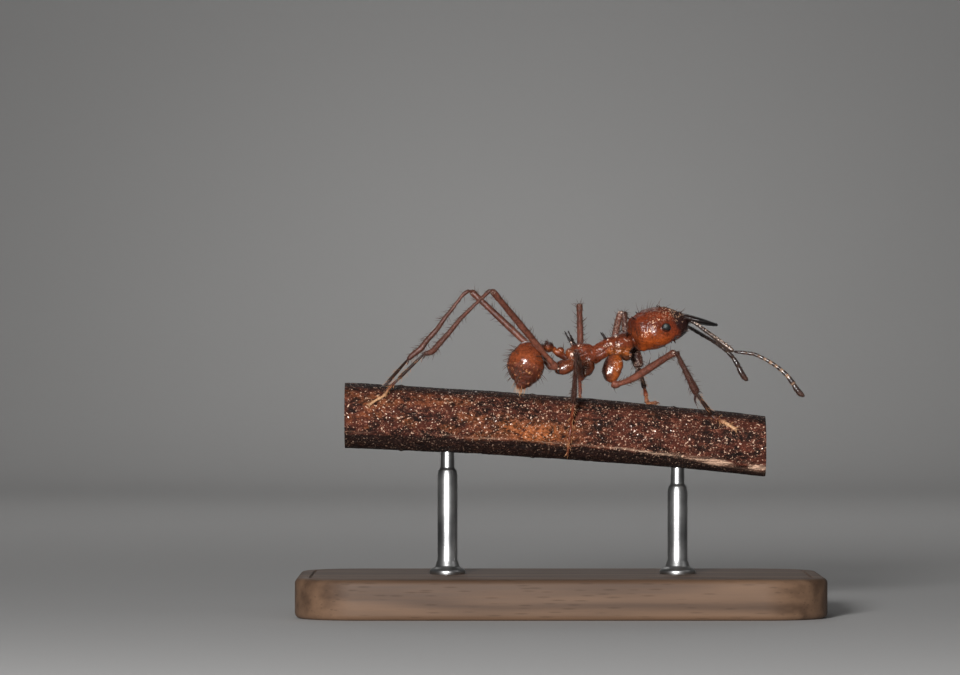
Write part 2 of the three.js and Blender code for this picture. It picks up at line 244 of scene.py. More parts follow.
def jointed(cuts: Array, shape: Array) -> tuple[Array, Array]:
    """Repeats one joint's outline, shares of its length with thicknesses, between cuts."""
    share = np.concatenate([a + (b - a) * shape[:, 0] for a, b in zip(cuts, cuts[1:])])
    return share, np.tile(shape[:, 1], len(cuts) - 1)


@dataclass(frozen=True)
class Profile:
    """How thick a limb is along its length, with rounded ends.

    The stations pair a share of the length with a half thickness; the breadth pairs a share
    with how many times wider than thick it is there; start and end are the rounded shares.
    """

    stations: Stations
    breadth: Stations = ((0, 1), (1, 1))
    start: float = 0.04
    end: float = 0.04

    @classmethod
    def spike(cls, root: float, middle: float, tip: float) -> "Profile":
        """The profile of a claw or a spur."""
        return cls(((0, root), (0.5, middle), (1, tip)), start=0.05, end=0.05)

    def times(self, factor: float) -> "Profile":
        """The same profile, made thicker or thinner."""
        return replace(self, stations=tuple((at, half * factor) for at, half in self.stations))

    def rings(self, length: float, count: int) -> Array:
        """The rings of a shaft with this profile.

        Args:
            length: The shaft's length.
            count: How many rings it gets, closer together near its ends.

        Returns:
            One row a ring: distance along, half width, half height.
        """
        even = np.linspace(0, 1, count)
        share = 0.5 * even + 0.25 * (1 - np.cos(np.pi * even))
        high = through(self.stations, share) * dome(share, self.start, self.end, 0.05)
        return np.stack([share * length, high * through(self.breadth, share), high], 1)


# --- The frame's solids ---


def flat(items: bpy.types.bpy_prop_collection, key: str) -> Array:
    """Three numbers of each item of a mesh, one item a row."""
    values = np.empty(len(items) * 3)
    items.foreach_get(key, values)
    return values.reshape(-1, 3)


class Solids:
    """The frame's solids, measured in millimetres."""

    def __init__(self, nodes: dict[str, bpy.types.Object]) -> None:
        """Keeps the frame's nodes, by name."""
        self.nodes = nodes

    def points(self, name: str) -> Array:
        """The different vertices of a node."""
        points = flat(self.nodes[name].data.vertices, "co")
        return np.unique(np.round(points / MILLIMETRE, 5), axis=0)

    def middle(self, name: str) -> Vector:
        """The middle of a node's box."""
        low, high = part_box(name)
        return (Vector(low) + Vector(high)) / (2 * MILLIMETRE)

    def far(self, name: str, start: Vector) -> Vector:
        """The vertex of a node that is farthest from a point."""
        points = self.points(name)
        return Vector(points[np.argmax(np.linalg.norm(points - np.array(start), axis=1))])

    def corners(self, name: str) -> Array:
        """The three corners of each triangle of a node."""
        data = self.nodes[name].data
        data.calc_loop_triangles()
        index = np.array([t.vertices[:] for t in data.loop_triangles])
        return flat(data.vertices, "co")[index] / MILLIMETRE

    def poles(self, name: str, count: int) -> list[Vector]:
        """The poles of a swept node, where so many of its triangles meet, the lowest first."""
        places, meeting = np.unique(np.round(self.corners(name).reshape(-1, 3), 4), axis=0,
                                    return_counts=True)
        found = places[meeting >= count]
        return [Vector(place) for place in found[np.argsort(found[:, 2])]]

    def middle_line(self, name: str, start: Vector, end: Vector, cuts: int) -> list[Vector]:
        """Finds the line down the middle of a long node by cutting it across.

        Args:
            name: The node.
            start: Where its line begins.
            end: Where its line ends.
            cuts: How many cuts are made between the ends.

        Returns:
            The two ends with the middles of the cuts between them.
        """
        corners = self.corners(name)
        chord = np.array(end - start)
        line = [start]
        for k in range(1, cuts + 1):
            level = (corners - np.array(start)) @ chord / (chord @ chord) - k / (cuts + 1)
            total, weight = np.zeros(3), 0
            for corner, height in zip(corners, level):
                ends = [corner[i] + (corner[j] - corner[i]) * height[i] / (height[i] - height[j])
                        for i, j in ((0, 1), (1, 2), (2, 0)) if height[i] * height[j] < 0]
                if len(ends) == 2:
                    length = np.linalg.norm(ends[1] - ends[0])
                    total += (ends[0] + ends[1]) * 0.5 * length
                    weight += length
            if weight > 0:
                line.append(Vector(total / weight))
        return [*line, end]


@dataclass
class Stance:
    """Where the ant stands: its middle plane, its heading and the pitch of its head."""

    solids: Solids
    head_pitch: float = math.radians(13.72)
    head_length: float = 2.213
    eye_share: float = 0.535
    eye_rise: float = 0.01
    eye_tilt: float = math.radians(26.0)

    def __post_init__(self) -> None:
        """Reads the middle plane from the two eyes."""
        right, left = self.solids.middle("eye_right"), self.solids.middle("eye_left")
        self.anchor = (right + left) / 2
        self.left = (left - right).normalized()
        self.forward = self.left.cross(UP)
        self.head_forward = (self.forward * math.cos(self.head_pitch)
                             + UP * math.sin(self.head_pitch))
        self.head_up = self.head_forward.cross(self.left)
        self.head_axes = Matrix((self.head_forward, self.left, self.head_up)).transposed()
        self.body_axes = Matrix((self.forward, self.left, UP)).transposed()

    def on_body(self, x: float, left: float, z: float) -> Vector:
        """A point of the body: its place along +X in the middle plane, its left, its height."""
        along = (x - self.anchor.x) / self.forward.x
        point = self.anchor + self.forward * along + self.left * left
        return Vector((point.x, point.y, z))

    def on_head(self, share: float, left: float, rise: float) -> Vector:
        """A point of the head: share of its length from behind, distance left, distance up."""
        along = (share - self.eye_share) * self.head_length
        return (self.anchor + self.head_forward * along + self.left * left
                + self.head_up * (rise - self.eye_rise))

    def in_head(self, points: Array) -> Array:
        """World points as distances forward, left and up from the middle of the eyes."""
        return (points - np.array(self.anchor)) @ np.array(self.head_axes)

    def in_body(self, points: Array) -> Array:
        """World points as place along +X, distance left, height, as on_body takes them."""
        local = (points - np.array(self.anchor)) @ np.array(self.body_axes)
        local[:, 0] = self.anchor.x + local[:, 0] * self.forward.x
        local[:, 2] = points[:, 2]
        return local


class Perch:
    """The twig's axis and radius, read from its solid."""

    def __init__(self, solids: Solids) -> None:
        """Finds the middle and the radius of each ring of the twig's solid.

        Args:
            solids: The frame's solids.
        """
        points = solids.points("perch_twig")
        rings = [points[np.abs(points[:, 0] - x) < TOUCH] for x in np.unique(points[:, 0])]
        rings = [ring for ring in rings if len(ring) > 4]
        self.stations = np.array([ring[0, 0] for ring in rings])
        low = np.array([ring.min(0) for ring in rings])
        high = np.array([ring.max(0) for ring in rings])
        self.height = (low[:, 2] + high[:, 2]) / 2
        self.radius = (high[:, 2] - low[:, 2]) / 2

    def centre(self, x: float) -> Vector:
        """The twig's axis where it passes a place along X."""
        return Vector((x, 0, float(np.interp(x, self.stations, self.height))))

    def reach(self, x: float) -> float:
        """The twig's radius at a place along X."""
        return float(np.interp(x, self.stations, self.radius))

    def settle(self, point: Vector, clearance: float) -> Vector:
        """Brings a point that is close to the bark to a clearance above it."""
        centre = self.centre(point.x)
        out = point - centre
        out.x = 0
        if out.length > self.reach(point.x) + 0.3:
            return point
        return centre + out.normalized() * (self.reach(point.x) + clearance)


# --- The modelling bench ---


@dataclass(frozen=True)
class Thorn:
    """A thorn: the middle of its foot, its point and its radius at the foot."""

    root: Vector
    tip: Vector
    radius: float

    @classmethod
    def row(cls, on: Callable[..., Vector], rows: Rows, side: int) -> list["Thorn"]:
        """The thorns of one side, from rows of foot, point and radius."""
        return [cls(on(a, side * b, c), on(d, side * e, f), radius)
                for a, b, c, d, e, f, radius in rows]

    def cover(self, points: Array, wide: float, narrow: float, start: float,
              end: float) -> Array:
        """Which points lie on the thorn.

        Args:
            points: The points, one a row.
            wide: How far out the cover ends, in radii.
            narrow: How far out it is full, in radii.
            start: The share of the length at which it begins.
            end: The share at which it is full.

        Returns:
            1 on the thorn, 0 off it, for each point.
        """
        away, share = to_segment(points, self.root, self.tip)
        return (ramp(away, self.radius * wide, self.radius * narrow)
                * ramp(share, start, end))


class Form:
    """A piece under way: one mesh, modelled in millimetres."""

    def __init__(self, thing: bpy.types.Object) -> None:
        """Wraps a mesh object."""
        self.thing = thing

    @staticmethod
    def clear() -> None:
        """Deselects everything in object mode."""
        bpy.ops.object.select_all(action="DESELECT")

    @classmethod
    def adopt(cls, name: str) -> "Form":
        """Takes over the object that an operator has just added, with its place applied."""
        thing = bpy.context.active_object
        thing.name = thing.data.name = name
        bpy.ops.object.transform_apply(location=True, rotation=True, scale=True)
        return cls(thing)

    @classmethod
    def ball(cls, at: Vector, radii: Sequence[float], axes: Matrix | None = None) -> "Form":
        """Adds a rounded lump with its half sizes along its own three axes."""
        cls.clear()
        bpy.ops.mesh.primitive_uv_sphere_add(segments=28, ring_count=16, radius=1)
        turned = (axes or Matrix.Identity(3)).to_4x4()
        bpy.context.active_object.matrix_world = (
            Matrix.Translation(at) @ turned @ Matrix.Diagonal((*radii, 1)))
        return cls.adopt("lump")

    @classmethod
    def thorn(cls, thorn: Thorn, blunt: float = 0.3) -> "Form":
        """Adds a thorn.

        Args:
            thorn: Where it stands.
            blunt: The share of its radius that is left at its point.

        Returns:
            The thorn.
        """
        cls.clear()
        way = thorn.tip - thorn.root
        bpy.ops.mesh.primitive_cone_add(vertices=12, radius1=thorn.radius,
                                        radius2=thorn.radius * blunt, depth=way.length)
        bpy.context.active_object.matrix_world = (
            Matrix.Translation((thorn.root + thorn.tip) / 2)
            @ way.to_track_quat("Z", "Y").to_matrix().to_4x4())
        return cls.adopt("thorn")

    @classmethod
    def lumps(cls, on: Callable[..., Vector], axes: Matrix, rows: Rows, side: int = 1,
              about: str = "Y") -> list["Form"]:
        """Adds a row of lumps on one side of the ant.

        Args:
            on: Gives a point from a place along, a distance left and a height.
            axes: The axes that the lumps lie along.
            rows: Place, left, height, three half sizes, and degrees turned if at all.
            side: The side, as the sign of its distance to the left.
            about: The axis that the turned ones are turned about.

        Returns:
            The lumps.
        """
        forms = []
        for x, left, z, *size in rows:
            turned = axes @ Matrix.Rotation(math.radians(sum(size[3:])), 3, about)
            forms.append(cls.ball(on(x, side * left, z), size[:3], turned))
        return forms

    @classmethod
    def shaft(cls, name: str, rings: Array, sides: int) -> "Form":
        """Raises a closed shaft along +Z: a disc, extruded and resized ring by ring.

        Args:
            name: The piece's name.
            rings: One row a ring: distance along, half width, half height.
            sides: How many sides it has.

        Returns:
            The shaft.
        """
        cls.clear()
        along, wide, high = rings[0]
        bpy.ops.mesh.primitive_circle_add(vertices=sides, radius=1, fill_type="NGON",
                                          location=(0, 0, along))
        form = cls.adopt(name)
        bpy.ops.object.mode_set(mode="EDIT")
        bpy.ops.mesh.select_all(action="SELECT")
        bpy.ops.transform.resize(value=(wide, high, 1), center_override=(0, 0, along))
        for before, after in zip(rings, rings[1:]):
            rise, (across, tall) = after[0] - before[0], after[1:] / before[1:]
            bpy.ops.mesh.extrude_region_move(TRANSFORM_OT_translate={"value": (0, 0, rise)})
            bpy.ops.transform.resize(value=(across, tall, 1),
                                     center_override=(0, 0, after[0]))
        form.leave()
        return form

    @classmethod
    def limb(cls, name: str, line: Line, profile: Profile, rings: int, sides: int) -> "Form":
        """A shaft of so many rings and sides with a profile, laid along a line."""
        form = cls.shaft(name, profile.rings(line.length, rings), sides)
        form.place(line.lay(form.points()))
        return form

    @classmethod
    def gather(cls, name: str, forms: Sequence["Form"]) -> "Form":
        """Joins forms into one, and names it.

        Args:
            name: The name.
            forms: The forms.

        Returns:
            The joined form.
        """
        cls.clear()
        for form in forms:
            form.thing.select_set(True)
        bpy.context.view_layer.objects.active = forms[0].thing
        bpy.ops.object.join()
        forms[0].thing.name = forms[0].thing.data.name = name
        forms[0].sort_faces()
        return forms[0]

    @classmethod
    def fuse(cls, name: str, forms: Sequence["Form"], voxel: float, soften: int) -> "Form":
        """Melts overlapping forms into one skin with faces of a size, and smooths it."""
        skin = cls.gather(name, forms)
        skin.modify("REMESH", mode="VOXEL", voxel_size=voxel, use_smooth_shade=True)
        skin.modify("SMOOTH", factor=0.5, iterations=soften)
        return skin

    def pick(self) -> None:
        """Selects this piece alone and makes it active."""
        self.clear()
        self.thing.select_set(True)
        bpy.context.view_layer.objects.active = self.thing

    def edit(self, mode: str = "FACE") -> None:
        """Enters edit mode on this piece, selecting by vertex, edge or face, with none picked."""
        self.pick()
        bpy.ops.object.mode_set(mode="EDIT")
        bpy.ops.mesh.select_mode(type=mode)
        bpy.ops.mesh.select_all(action="DESELECT")

    def _select(self, mode: str, items: str, rule: Callable[..., bool]) -> None:
        """Selects the edges or faces that pass a rule, in edit mode."""
        bpy.ops.mesh.select_mode(type=mode)
        bpy.ops.mesh.select_all(action="DESELECT")
        bpy.ops.object.mode_set(mode="OBJECT")
        for item in getattr(self.thing.data, items):
            item.select = rule(item)
        bpy.ops.object.mode_set(mode="EDIT")

    def select_edges(self, rule: Callable[[Vector, Vector], bool]) -> None:
        """Selects the edges whose two ends pass a rule, in edit mode."""
        self._select("EDGE", "edges", lambda edge: rule(
            *(self.thing.data.vertices[i].co for i in edge.vertices)))

    def select_faces(self, rule: Callable[[bpy.types.MeshPolygon], bool]) -> None:
        """Selects the faces that pass a rule, in edit mode."""
        self._select("FACE", "polygons", rule)

    def leave(self) -> None:
        """Turns all faces outwards and leaves edit mode."""
        bpy.ops.mesh.select_all(action="SELECT")
        bpy.ops.mesh.normals_make_consistent(inside=False)
        bpy.ops.object.mode_set(mode="OBJECT")
        self.sort_faces()

    def sort_faces(self) -> None:
        """Puts the faces in a fixed order, as the operators' own differs from run to run."""
        points, data = self.points().tolist(), self.thing.data
        faces = [list(face.vertices) for face in data.polygons]
        faces = [face[face.index(min(face)):] + face[:face.index(min(face))] for face in faces]
        data.clear_geometry()
        data.from_pydata(points, [], sorted(faces))

    def modify(self, kind: str, **settings: object) -> None:
        """Adds a modifier with its settings and applies it."""
        self.pick()
        modifier = self.thing.modifiers.new(kind.title(), kind)
        for key, value in settings.items():
            setattr(modifier, key, value)
        bpy.ops.object.modifier_apply(modifier=modifier.name)

    def points(self) -> Array:
        """The places of this piece's vertices, one a row."""
        return flat(self.thing.data.vertices, "co")

    def place(self, points: Array) -> None:
        """Moves this piece's vertices to new places."""
        self.thing.data.vertices.foreach_set("co", points.ravel())
        self.thing.data.update()

    def normals(self) -> Array:
        """The directions that this piece's vertices face, one a row."""
        return flat(self.thing.data.vertex_normals, "vector")

    def push(self, amount: Array) -> None:
        """Moves each vertex out along its normal by its amount, or in where that is negative."""
        self.place(self.points() + self.normals() * np.asarray(amount)[:, None])

    def paint(self, layer: Layer, values: Array) -> None:
        """Writes one value a vertex for the material to read, held between 0 and 1."""
        data = self.thing.data
        held = data.attributes.get(layer.value)
        if held is None:
            held = data.attributes.new(layer.value, "FLOAT", "POINT")
        values = np.broadcast_to(np.clip(values, 0, 1), len(data.vertices))
        held.data.foreach_set("value", np.ascontiguousarray(values, dtype=np.float32))

    def coat(self, material: Material) -> None:
        """Brings the piece to metres and gives it its material, smooth all over."""
        self.pick()
        self.thing.scale = (MILLIMETRE,) * 3
        bpy.ops.object.transform_apply(location=True, rotation=True, scale=True)
        bpy.ops.object.shade_smooth()
        self.thing.data.materials.clear()
        self.thing.data.materials.append(material)

    def finish(self, material: Material, slot: str, *nodes: str,
               crease: float = 180.0) -> bpy.types.Object:
        """Brings the piece to metres, dresses it and hands it to the frame.

        Args:
            material: What it is made of.
            slot: The record's material slot; not used.
            *nodes: The solids that it stands for.
            crease: The angle in degrees above which an edge stays sharp.

        Returns:
            The finished object.
        """
        self.coat(material)
        if crease < 180:
            bpy.ops.object.shade_smooth_by_angle(angle=math.radians(crease))
        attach(self.thing, "root")
        if nodes:
            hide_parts(*nodes)
        log.info("%s: %d faces", self.thing.name, len(self.thing.data.polygons))
        return self.thing


# --- Shaders ---


class Wire:
    """A value on a material's board that is worked with like a number."""

    def __init__(self, board: "Board", socket: bpy.types.NodeSocket) -> None:
        """Keeps a node's output and the board it is on."""
        self.board = board
        self.socket = socket

    @staticmethod
    def _maker(operation: str, swapped: bool = False) -> Callable[..., "Wire"]:
        """Makes an operator that adds a Math node, with its values swapped or not."""

        def work(self: "Wire", other: "Wire | float") -> "Wire":
            """Adds the node."""
            return self.board.math(operation, *((other, self) if swapped else (self, other)))

        return work

    __add__ = __radd__ = _maker("ADD")
    __sub__, __rsub__ = _maker("SUBTRACT"), _maker("SUBTRACT", True)
    __mul__ = __rmul__ = _maker("MULTIPLY")

    def graded(self, low: float, high: float) -> "Wire":
        """A smooth grade of this value, 0 at low and 1 at high."""
        node = self.board.node("ShaderNodeMapRange", {"interpolation_type": "SMOOTHSTEP"},
                               {"Value": self, "From Min": low, "From Max": high})
        return Wire(self.board, node.outputs["Result"])


Value = Wire | float | Colour


class Board:
    """A material and the nodes on its board. Lengths in its patterns are in millimetres."""

    def __init__(self, name: str) -> None:
        """Starts an empty board for a new material."""
        self.material = bpy.data.materials.new(name)
        self.material.use_nodes = True
        self.tree = self.material.node_tree
        self.tree.nodes.clear()

    def node(self, kind: str, settings: dict[str, object] | None = None,
             sockets: dict[str | int, Value] | None = None) -> bpy.types.Node:
        """Adds a node.

        Args:
            kind: The node's type.
            settings: Its settings, set before its sockets; stops are a colour ramp's.
            sockets: Values or wires for its sockets, by name or number.

        Returns:
            The node.
        """
        node = self.tree.nodes.new(kind)
        for key, value in (settings or {}).items():
            setattr(node, key, value)
        for key, value in (sockets or {}).items():
            socket = node.inputs[key]
            if isinstance(value, Wire):
                self.tree.links.new(value.socket, socket)
            elif socket.type == "RGBA":
                socket.default_value = (*value, 1)
            else:
                socket.default_value = value
        return node

    def math(self, operation: str, *values: Value) -> Wire:
        """A Math node on one, two or three values."""
        node = self.node("ShaderNodeMath", {"operation": operation}, dict(enumerate(values)))
        return Wire(self, node.outputs[0])

    def mix(self, share: Value, first: Value, second: Value) -> Wire:
        """A colour between two colours."""
        node = self.node("ShaderNodeMix", {"data_type": "RGBA", "clamp_factor": True},
                         {0: share, 6: first, 7: second})
        return Wire(self, node.outputs[2])

    def shade(self, colour: Value, amount: Value) -> Wire:
        """A colour made lighter or darker by a factor."""
        node = self.node("ShaderNodeVectorMath", {"operation": "SCALE"},
                         {0: colour, "Scale": amount})
        return Wire(self, node.outputs[0])

    def place(self, stretch: Sequence[float] = (1, 1, 1),
              turn: Sequence[float] = (0, 0, 0)) -> Wire:
        """The surface point in millimetres, stretched by factors and turned by angles."""
        source = self.node("ShaderNodeTexCoord")
        scale = tuple(1 / (MILLIMETRE * factor) for factor in stretch)
        node = self.node("ShaderNodeMapping", None,
                         {"Vector": Wire(self, source.outputs["Object"]), "Scale": scale,
                          "Rotation": turn})
        return Wire(self, node.outputs[0])

    def cloud(self, place: Wire, size: float, detail: float = 2.0, rough: float = 0.5) -> Wire:
        """Soft noise with patches of a size, from 0 to 1."""
        node = self.node("ShaderNodeTexNoise", None,
                         {"Vector": place, "Scale": 1 / size, "Detail": detail,
                          "Roughness": rough})
        return Wire(self, node.outputs[0])

    def cells(self, place: Wire, size: float, feature: str = "F1") -> Wire:
        """The distance from the middles or the borders of cells of a size."""
        node = self.node("ShaderNodeTexVoronoi", {"feature": feature},
                         {"Vector": place, "Scale": 1 / size})
        return Wire(self, node.outputs["Distance"])

    def painted(self, layer: Layer) -> Wire:
        """A value painted on the mesh."""
        node = self.node("ShaderNodeAttribute", {"attribute_name": layer.value})
        return Wire(self, node.outputs["Fac"])

    def relief(self, height: Wire, depth: float, strength: float = 1.0) -> Wire:
        """A bumped normal from a height and its depth in millimetres."""
        node = self.node("ShaderNodeBump", None,
                         {"Height": height, "Distance": depth * MILLIMETRE,
                          "Strength": strength})
        return Wire(self, node.outputs[0])

    def surface(self, **sockets: Value) -> Material:
        """Closes the board with its surface shader; its sockets' spaces are underscores here."""
        named = {key.replace("_", " "): value for key, value in sockets.items()}
        shader = self.node("ShaderNodeBsdfPrincipled", None, named)
        self.node("ShaderNodeOutputMaterial", None,
                  {"Surface": Wire(self, shader.outputs[0])})
        return self.material


@dataclass(frozen=True)
class Shell:
    """The horny skin: pebbled and glinting, with painted highlights where tip is painted, dark
    where dusk is painted, smooth where calm.
    """

    name: str
    body: Colour
    glow: Colour
    dusk: Colour
    pebble: float = 0.075
    depth: float = 0.01
    rough: float = 0.24
    gloss: float = 0.8
    lacquer: float = 0.06
    mottle: float = 0.55
    # The colour of the painted highlights.
    shine: Colour = (0.86, 0.64, 0.5)

    def material(self) -> Material:
        """Makes the material.

        Returns:
            The finished material.
        """
        board = Board(self.name)
        place = board.place()
        cloud = board.cloud(place, 0.3, 4, 0.65)
        fleck = board.cloud(place, 0.08, 3, 0.65)
        pebbles = board.cells(place, self.pebble)
        # The pebbles' borders, low in the bump, are darkened below: painted shade in their hollows.
        seams = pebbles.graded(0.3, 0.8)
        dusk = board.painted(Layer.DUSK)
        colour = board.mix(board.painted(Layer.GLOW), self.body, self.glow)
        light = (cloud - 0.5) * self.mottle * 2.6 + (fleck - 0.5) * self.mottle * 1.6 + 1
        colour = board.shade(colour, light - seams * self.mottle * 0.6)
        # Dusk blends in the dark colour, which stands both for dark cuticle and for painted shade.
        colour = board.mix(dusk + (cloud - 0.5) * dusk * 0.4, colour, self.dusk)
        # Painted highlights: the pale shine colour speckled in where tip is painted.
        glint = board.painted(Layer.TIP) * board.cloud(place, 0.06, 2).graded(0.54, 0.6)
        colour = board.mix(glint, colour, self.shine)
        height = (fleck * 0.9 - pebbles) * (1 - board.painted(Layer.CALM) * 0.8)
        return board.surface(
            Base_Color=colour,
            Roughness=((fleck - 0.5) * 0.3 + self.rough + dusk * 0.08
                       - board.painted(Layer.CALM) * 0.14),
            Specular_IOR_Level=self.gloss,
            Normal=board.relief(height, self.depth),
            Coat_Weight=self.lacquer,
            Coat_Roughness=0.12,
        )


@dataclass(frozen=True)
class Lens:
    """The compound eye: nearly black, with a painted grey-green reflection on its facets."""

    name: str
    dark: Colour = (0.012, 0.012, 0.011)
    # The colour of the painted reflection.
    sheen: Colour = (0.075, 0.092, 0.085)

    def material(self) -> Material:
        """Makes the material.

        Returns:
            The finished material.
        """
        board = Board(self.name)
        cloud = board.cloud(board.place(), 0.05, 2)
        colour = board.mix(board.painted(Layer.GLOW), self.dark, self.sheen)
        return board.surface(
            Base_Color=board.shade(colour, cloud * 0.8 + 0.6),
            Roughness=cloud * 0.12 + 0.26,
            Specular_IOR_Level=0.4,
            Normal=board.relief(cloud, 0.002),
            Coat_Weight=0.1,
            Coat_Roughness=0.15,
        )


@dataclass(frozen=True)
class Horn:
    """Bristles: one colour at the root, another at the tip."""

    name: str
    root: Colour
    tip: Colour

    def material(self) -> Material:
        """Makes the material.

        Returns:
            The finished material.
        """
        board = Board(self.name)
        cloud = board.cloud(board.place(), 0.12, 2)
        colour = board.mix(board.painted(Layer.TIP), self.root, self.tip)
        return board.surface(
            Base_Color=board.shade(colour, cloud * 0.6 + 0.7),
            Roughness=cloud * 0.2 + 0.3,
            Normal=board.relief(cloud, 0.001),
        )


@dataclass(frozen=True)
class Bark:
    """Old brown bark: dark patches, rusty patches, pale fibres and many glinting grains, their pale
    colour partly a painted glint, with painted shade where dusk is painted.
    """

    name: str
    # The darkest colour: dark bark, and also painted shade.
    crust_and_shade: Colour = (0.009, 0.003, 0.002)
    brown: Colour = (0.11, 0.026, 0.014)
    rust: Colour = (0.45, 0.13, 0.036)
    grain: Colour = (0.6, 0.27, 0.17)

    def material(self) -> Material:
        """Makes the material.

        Returns:
            The finished material.
        """
        board = Board(self.name)
        place = board.place()
        patches = board.cloud(board.place(stretch=(2, 1, 1)), 0.55, 5, 0.7)
        mottle = board.cloud(board.place(stretch=(1.5, 1, 1)), 0.17, 4, 0.75)
        streaks = board.cloud(board.place(stretch=(11, 1, 1)), 0.1, 3, 0.6)
        grit = board.cloud(place, 0.05, 2, 0.7)
        cells = board.cells(board.place(stretch=(1.5, 1, 1)), 0.1)
        specks = grit.graded(0.56, 0.64) * mottle.graded(0.44, 0.6)
        # Stars: glossy pale grains, their pale colour partly a painted glint, dimmed where shade is
        # painted.
        stars = board.cloud(place, 0.085, 1).graded(0.645, 0.69)
        colour = board.mix(patches.graded(0.44, 0.58) * 0.6 + mottle.graded(0.46, 0.6) * 0.4,
                           self.crust_and_shade, self.brown)
        rust = board.painted(Layer.GLOW) * mottle.graded(0.36, 0.6)
        colour = board.mix(rust, colour, self.rust)
        # Dusk blends in the darkest colour as painted shade, and dims the grains below.
        colour = board.mix(board.painted(Layer.DUSK), colour, self.crust_and_shade)
        light = 1 - board.painted(Layer.DUSK) * 0.7
        colour = board.mix(specks * light * 0.75, colour, self.grain)
        fibres = streaks.graded(0.6, 0.7) * board.painted(Layer.TIP)
        pale = board.painted(Layer.TIP) * (streaks.graded(0.4, 0.6) * 0.7 + specks * 0.4 + 0.1)
        colour = board.mix(pale + fibres * 0.3 + stars * light * 0.8, colour, (0.82, 0.53, 0.37))
        height = grit * 0.9 + mottle * 0.9 + streaks * 0.3 - cells * 0.6 + patches * 0.5
        return board.surface(
            Base_Color=colour,
            Roughness=0.7 - stars * 0.4 - specks * 0.2,
            Specular_IOR_Level=0.2,
            Normal=board.relief(height, 0.06),
            Coat_Weight=stars * 0.7 + specks * 0.1,
            Coat_Roughness=0.2,
        )


@dataclass(frozen=True)
class EndGrain:
    """The cut face of the twig: pale wood with rings round its pith."""

    name: str
    pale: Colour = (0.42, 0.27, 0.15)
    dark: Colour = (0.2, 0.1, 0.05)

    def material(self) -> Material:
        """Makes the material.

        Returns:
            The finished material.
        """
        board = Board(self.name)
        place = board.place()
        cloud = board.cloud(place, 0.3, 4)
        pores = board.cells(board.place(stretch=(6, 1, 1)), 0.06).graded(0, 0.4)
        rings = board.math("SINE", board.painted(Layer.CALM) * 46 + cloud * 5) * 0.5 + 0.5
        colour = board.mix(rings * 0.6 + (1 - pores) * 0.4, self.pale, self.dark)
        return board.surface(
            Base_Color=board.shade(colour, cloud * 0.6 + 0.65),
            Roughness=cloud * 0.2 + 0.65,
            Normal=board.relief(rings * 0.4 + pores, 0.012),
        )


@dataclass(frozen=True)
class OiledWood:
    """The stand's base: dark oiled hardwood with its grain along +X."""

    name: str
    light: Colour = (0.17, 0.098, 0.058)
    dark: Colour = (0.055, 0.03, 0.018)

    def material(self) -> Material:
        """Makes the material.

        Returns:
            The finished material.
        """
        board = Board(self.name)
        long = board.place(stretch=(14, 1, 1))
        wander = board.cloud(long, 2.4, 3, 0.5)
        bands = board.math("SINE", wander * 34) * 0.5 + 0.5
        fibres = board.cloud(board.place(stretch=(30, 1, 1)), 0.14, 3, 0.6)
        pores = board.cells(board.place(stretch=(9, 1, 1)), 0.13).graded(0.1, 0.34)
        colour = board.mix(bands * 0.55 + fibres * 0.45, self.dark, self.light)
        return board.surface(
            Base_Color=board.shade(colour, pores * 0.22 + 0.78),
            Roughness=0.6 - pores * 0.05 + fibres * 0.1,
            Specular_IOR_Level=0.3,
            Normal=board.relief(pores * 0.3 + fibres * 0.5, 0.006),
        )


@dataclass(frozen=True)
class BrushedSteel:
    """The stand's rods: steel turned and brushed round their length."""

    name: str
    bright: Colour = (0.58, 0.58, 0.57)
    dull: Colour = (0.34, 0.34, 0.34)

    def material(self) -> Material:
        """Makes the material.

        Returns:
            The finished material.
        """
        board = Board(self.name)
        turned = board.cloud(board.place(stretch=(8, 8, 0.25)), 0.12, 3, 0.7)
        smudge = board.cloud(board.place(), 1.1, 3)
        return board.surface(
            Base_Color=board.mix(smudge.graded(0.3, 0.7), self.dull, self.bright),
            Metallic=1,
            Roughness=turned * 0.16 + smudge * 0.12 + 0.22,
            Normal=board.relief(turned, 0.004),
        )


@dataclass(frozen=True)
class Paper:
    """The studio's seamless pale paper."""

    name: str
    tone: float = 0.44

    def material(self) -> Material:
        """Makes the material.

        Returns:
            The finished material.
        """
        board = Board(self.name)
        cloud = board.cloud(board.place(), 60, 2)
        tooth = board.cloud(board.place(), 0.5, 2)
        pale = (self.tone, self.tone * 0.985, self.tone * 0.97)
        return board.surface(
            Base_Color=board.shade(pale, cloud * 0.06 + 0.97),
            Roughness=tooth * 0.1 + 0.85,
            Normal=board.relief(tooth, 0.01),
        )


# --- The coat ---


@dataclass(frozen=True)
class Chart:
    """A cylinder unwrap of a skin round its own axis, in a band of the map."""

    start: Vector
    end: Vector
    low: float = 0.02
    high: float = 0.98

    def spot(self, points: Array) -> Array:
        """The map places, from 0 to 1 both ways, of points on the skin."""
        axis = (self.end - self.start).normalized()
        across = axis.orthogonal().normalized()
        local = points - np.array(self.start)
        share = np.clip(local @ np.array(axis) / (self.end - self.start).length, 0, 1)
        angle = np.arctan2(local @ np.array(axis.cross(across)), local @ np.array(across))
        around = 0.02 + 0.96 * (angle / (2 * math.pi) + 0.5)
        return np.stack([around, self.low + (self.high - self.low) * share], 1)


@dataclass(frozen=True)
class Growth:
    """How hairs stand on one skin.

    The count is how many there are; length and spread are in millimetres; radius is that of
    the root; lean is the angle in degrees from upright towards the lie; curl bends them on.
    """

    count: int
    length: float
    spread: float = 0.35
    radius: float = 0.011
    lean: float = 35.0
    curl: float = 0.25


